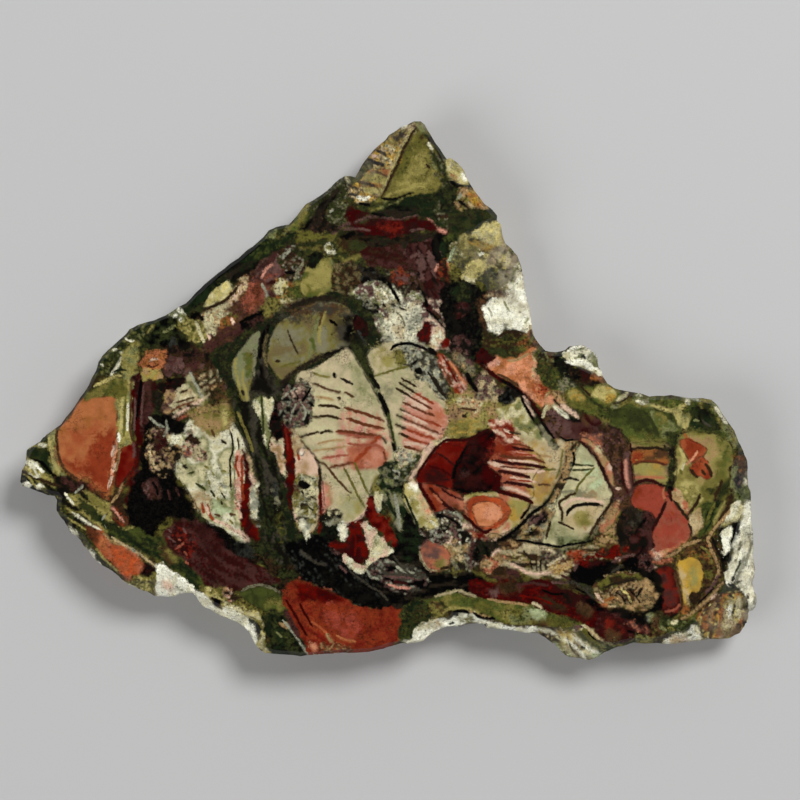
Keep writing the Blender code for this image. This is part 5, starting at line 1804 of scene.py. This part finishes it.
def cracks_mask(group, coordinates, moved, dark_amount, strength):
    """Thin cracks in two sizes, where a coarser noise and the markings let them through."""
    mask = None
    zones = arithmetic(
        group, "ADD", noise(group, coordinates, "cracked zones"),
        arithmetic(group, "MULTIPLY", dark_amount, CRACK_SHARE)
    )
    for kind, width, gate in CRACKS:
        ridge = arithmetic(group, "SUBTRACT", noise(group, moved, kind), 0.5)
        ridge = ramp(group, arithmetic(group, "ABSOLUTE", ridge, 0.0), 0.0, width, to_low=1.0, to_high=0.0)
        patchy = ramp(group, zones, gate, gate + CRACK_FADE, to_high=strength)
        crack = arithmetic(group, "MULTIPLY", ridge, patchy)
        mask = crack if mask is None else arithmetic(group, "MAXIMUM", mask, crack)
    return mask


def painting_group():
    """The shared colour of the stone: markings laid over the ground, with grain, flecks, cracks and seams."""
    group = bpy.data.node_groups.new("jasper colour", "ShaderNodeTree")
    for name in LAYERS:
        group.interface.new_socket(name, in_out="INPUT", socket_type="NodeSocketFloat")
    group.interface.new_socket("Colour", in_out="OUTPUT", socket_type="NodeSocketColor")
    strength = node(group, "NodeGroupInput").outputs
    coordinates = node(group, "ShaderNodeTexCoord").outputs["Object"]
    shifted = node(group, "ShaderNodeVectorMath", {0: coordinates, 1: FLECK_SHIFT}, operation="ADD")
    moved = shifted.outputs["Vector"]

    # The markings, each level over those below it, with edges that the stone's grain shakes.
    fine = noise(group, coordinates, "fine grain")
    shake = arithmetic(group, "ADD", *(
        ramp(group, grain, *EDGE_RANGE, to_low=-reach, to_high=reach)
        for grain, reach in zip((noise(group, coordinates, "edge grain"), fine), EDGE_SHAKE)
    ))
    colour = attribute(group, "ground").outputs["Vector"]
    for level in range(LEVELS):
        edge = arithmetic(group, "ADD", attribute(group, f"edge {level}").outputs["Fac"], shake)
        mask = ramp(group, edge, -1.0, 1.0, smooth=True)
        colour = mixed_colour(group, mask, colour, attribute(group, f"colour {level}").outputs["Vector"])
    amounts = node(group, "ShaderNodeSeparateXYZ", {"Vector": attribute(group, "flecks").outputs["Vector"]})
    dark_amount, light_amount, grain_amount = amounts.outputs

    # The grain, which makes the colour lighter and darker.
    lumps = arithmetic(
        group, "ADD", noise(group, coordinates, "coarse grain"), noise(group, coordinates, "clouds")
    )
    lumps = arithmetic(group, "ADD", fine, lumps)
    darkest = arithmetic(group, "MULTIPLY", strength["Grain"], -1.0)
    brightness = ramp(group, lumps, *GRAIN_RANGE, to_low=darkest, to_high=strength["Grain"])
    brightness = arithmetic(group, "MULTIPLY", brightness, grain_amount)
    brightness = arithmetic(group, "ADD", brightness, 1.0)
    grey = node(group, "ShaderNodeCombineColor", {0: brightness, 1: brightness, 2: brightness})
    colour = mixed_colour(group, 1.0, colour, grey.outputs["Color"], "MULTIPLY")

    # The light flecks, and over them all that is dark: flecks, cracks and seams.
    light = noise(group, moved, "light flecks")
    light = arithmetic(group, "ADD", light, arithmetic(group, "MULTIPLY", light_amount, LIGHT_SHARE))
    light = ramp(group, light, *LIGHT_RANGE, to_high=strength["Light Flecks"])
    colour = mixed_colour(group, light, colour, LIGHT_FLECK, "DODGE")
    dark = noise(group, coordinates, "dark flecks")
    dark = arithmetic(group, "ADD", dark, arithmetic(group, "MULTIPLY", dark_amount, DARK_SHARE))
    dark = ramp(group, dark, *DARK_RANGE, to_high=strength["Dark Flecks"])
    cracks = cracks_mask(group, coordinates, moved, dark_amount, strength["Cracks"])
    seam = attribute(group, "seams").outputs["Fac"]
    seam = arithmetic(group, "ADD", seam, noise(group, coordinates, "seams"))
    seam = ramp(group, seam, *SEAM_RANGE, to_high=strength["Seams"])
    dark = arithmetic(group, "MAXIMUM", arithmetic(group, "MAXIMUM", dark, cracks), seam)
    colour = mixed_colour(group, dark, colour, DARK_FLECK)
    output = node(group, "NodeGroupOutput")
    group.links.new(colour, output.inputs["Colour"])
    return group


def stone_material(name, painting, roughness, layers):
    """A material of the stone, with the shared colour at its own strengths."""
    material = bpy.data.materials.new(name)
    material.use_nodes = True
    tree = material.node_tree
    shader = tree.nodes["Principled BSDF"]
    shader.inputs["Roughness"].default_value = roughness
    painted = node(tree, "ShaderNodeGroup", layers, node_tree=painting)
    return material, tree, shader, painted.outputs["Colour"]


def polished_material(painting):
    """The polished face: saturated colour under a smooth gloss."""
    material, tree, shader, colour = stone_material("polished face", painting, roughness=0.18, layers=LAYERS)
    tree.links.new(colour, shader.inputs["Base Color"])
    return material


def rim_material(painting):
    """The natural rim: the same zones under a thin dull crust, rough to the touch."""
    material, tree, shader, colour = stone_material("natural rim", painting, roughness=0.85, layers=LAYERS)
    coordinates = node(tree, "ShaderNodeTexCoord").outputs["Object"]
    crust = ramp(tree, noise(tree, coordinates, "crust"), *CRUST_RANGE)
    crust = arithmetic(tree, "MULTIPLY", crust, attribute(tree, "side").outputs["Fac"])
    tone = ramp(tree, noise(tree, coordinates, "crust tone"), *TONE_RANGE)
    tone = mixed_colour(tree, tone, CRUST_DARK, CRUST_LIGHT)
    tree.links.new(mixed_colour(tree, crust, colour, tone), shader.inputs["Base Color"])
    lumps = arithmetic(
        tree, "ADD", noise(tree, coordinates, "rim lumps"), noise(tree, coordinates, "rim grit")
    )
    bump = node(tree, "ShaderNodeBump", {"Strength": 0.7, "Distance": 0.0005, "Height": lumps})
    tree.links.new(bump.outputs["Normal"], shader.inputs["Normal"])
    return material


def back_material(painting):
    """The sawn back: the same zones, dull, with the fine straight marks of the saw."""
    material, tree, shader, colour = stone_material("sawn back", painting, roughness=0.7, layers=LAYERS)
    coordinates = node(tree, "ShaderNodeTexCoord").outputs["Object"]
    dull = mixed_colour(tree, SAWN_DULLNESS, colour, SAWN_DUST)
    tree.links.new(dull, shader.inputs["Base Color"])
    marks = node(tree, "ShaderNodeTexWave", {"Vector": coordinates, "Scale": 220.0, "Distortion": 0.6})
    bump = node(tree, "ShaderNodeBump", {
        "Strength": 0.15, "Distance": 0.0001, "Height": marks.outputs["Fac"],
    })
    tree.links.new(bump.outputs["Normal"], shader.inputs["Normal"])
    return material


# The stone.

rows = MARKINGS.replace("\n ", " ").splitlines()
markings = [marking(row) for row in rows if row and not row.startswith("#")]
points, triangles, kinds = stone_arrays([
    line for number, row in enumerate(markings) if not isinstance(row[0], str)
    for line in middle_lines(number, row[2])
])
low_share = np.clip((CAD_HIGH.z - points[:, 2]) / (CAD_HIGH.z - CAD_LOW.z), 0.0, 1.0)
middle = np.array(STONE_MIDDLE)
where = middle + (photo_points(points) - middle) * (1 - DEPTH_SHRINK * low_share[:, None])
painting = paint(where, triangles, markings)
data = bpy.data.meshes.new("jasper")
data.from_pydata(points, [], triangles)
data.update()


def store(name, kind, values):
    """One value for each of the mesh's points."""
    made = data.attributes.new(name, kind, "POINT")
    made.data.foreach_set("value" if kind == "FLOAT" else "vector", np.asarray(values, np.float32).ravel())


store("ground", "FLOAT_VECTOR", painting.ground)
for level in range(LEVELS):
    store(f"edge {level}", "FLOAT", painting.edge[level])
    store(f"colour {level}", "FLOAT_VECTOR", painting.colour[level])
store("flecks", "FLOAT_VECTOR", painting.flecks)
store("seams", "FLOAT", painting.seams)
store("side", "FLOAT", np.clip(CRUST_RISE * low_share - CRUST_START, 0.0, 1.0))
jasper = bpy.data.objects.new("jasper", data)
bpy.context.scene.collection.objects.link(jasper)
colour_group = painting_group()
# In the order of POLISH, RIM and BACK.
for made in (polished_material(colour_group), rim_material(colour_group), back_material(colour_group)):
    data.materials.append(made)
data.polygons.foreach_set("material_index", kinds)
data.polygons.foreach_set("use_smooth", kinds == RIM)
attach(jasper, "root")
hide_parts(NODE)

# The studio.

CAMERA_HEIGHT = 0.8  # metres above the polished face
LENS = 180.0  # millimetres
FLOOR_REACH = 2  # metres to each side
FLOOR_GREY = (0.5, 0.5, 0.5, 1.0)
SKY_BAND = (0.55, 0.9)  # upward parts of the direction between which the sky darkens
SKY_LIGHT = 0.45
SKY_OVERHEAD = 0.02  # dark, so that the polished face mirrors no bright sky towards the camera

corners = [(-1, -1), (1, -1), (1, 1), (-1, 1)]
floor_data = bpy.data.meshes.new("floor")
floor_data.from_pydata([(FLOOR_REACH * x, FLOOR_REACH * y, 0) for x, y in corners], [], [(0, 1, 2, 3)])
floor = bpy.data.objects.new("floor", floor_data)
bpy.context.scene.collection.objects.link(floor)
floor_material = bpy.data.materials.new("floor")
floor_material.use_nodes = True
floor_shader = floor_material.node_tree.nodes["Principled BSDF"]
floor_shader.inputs["Base Color"].default_value = FLOOR_GREY
floor_shader.inputs["Roughness"].default_value = 0.9
floor_data.materials.append(floor_material)


def add_light(name, place, size, power):
    """A soft round light that looks at the stone."""
    light = bpy.data.lights.new(name, "AREA")
    light.shape = "DISK"
    light.size = size
    light.energy = power
    lamp = bpy.data.objects.new(name, light)
    lamp.location = place
    lamp.rotation_euler = (-Vector(place)).to_track_quat("-Z", "Y").to_euler()
    bpy.context.scene.collection.objects.link(lamp)


add_light("key", place=(0.5, 0.55, 1.0), size=0.5, power=12.4)
add_light("fill", place=(-0.8, -0.4, 0.8), size=0.8, power=5.0)

world = bpy.data.worlds.new("studio")
world.use_nodes = True
sky = world.node_tree
direction = node(sky, "ShaderNodeTexCoord").outputs["Generated"]
height = node(sky, "ShaderNodeSeparateXYZ", {"Vector": direction}).outputs["Z"]
glow = ramp(sky, height, *SKY_BAND, to_low=SKY_LIGHT, to_high=SKY_OVERHEAD, smooth=True)
sky.links.new(glow, sky.nodes["Background"].inputs["Strength"])
sky.nodes["Background"].inputs["Color"].default_value = (1, 1, 1, 1)
bpy.context.scene.world = world
bpy.context.scene.view_settings.view_transform = "Standard"

lens = bpy.data.cameras.new("camera")
lens.lens = LENS
lens.sensor_width = PHOTO_WIDTH * PIXEL * LENS / CAMERA_HEIGHT
camera = bpy.data.objects.new("camera", lens)
aim = stone_points(np.array([PHOTO_MIDDLE]))[0]
camera.location = (aim[0], aim[1], CAD_HIGH.z + CAMERA_HEIGHT)
bpy.context.scene.collection.objects.link(camera)
bpy.context.scene.camera = camera
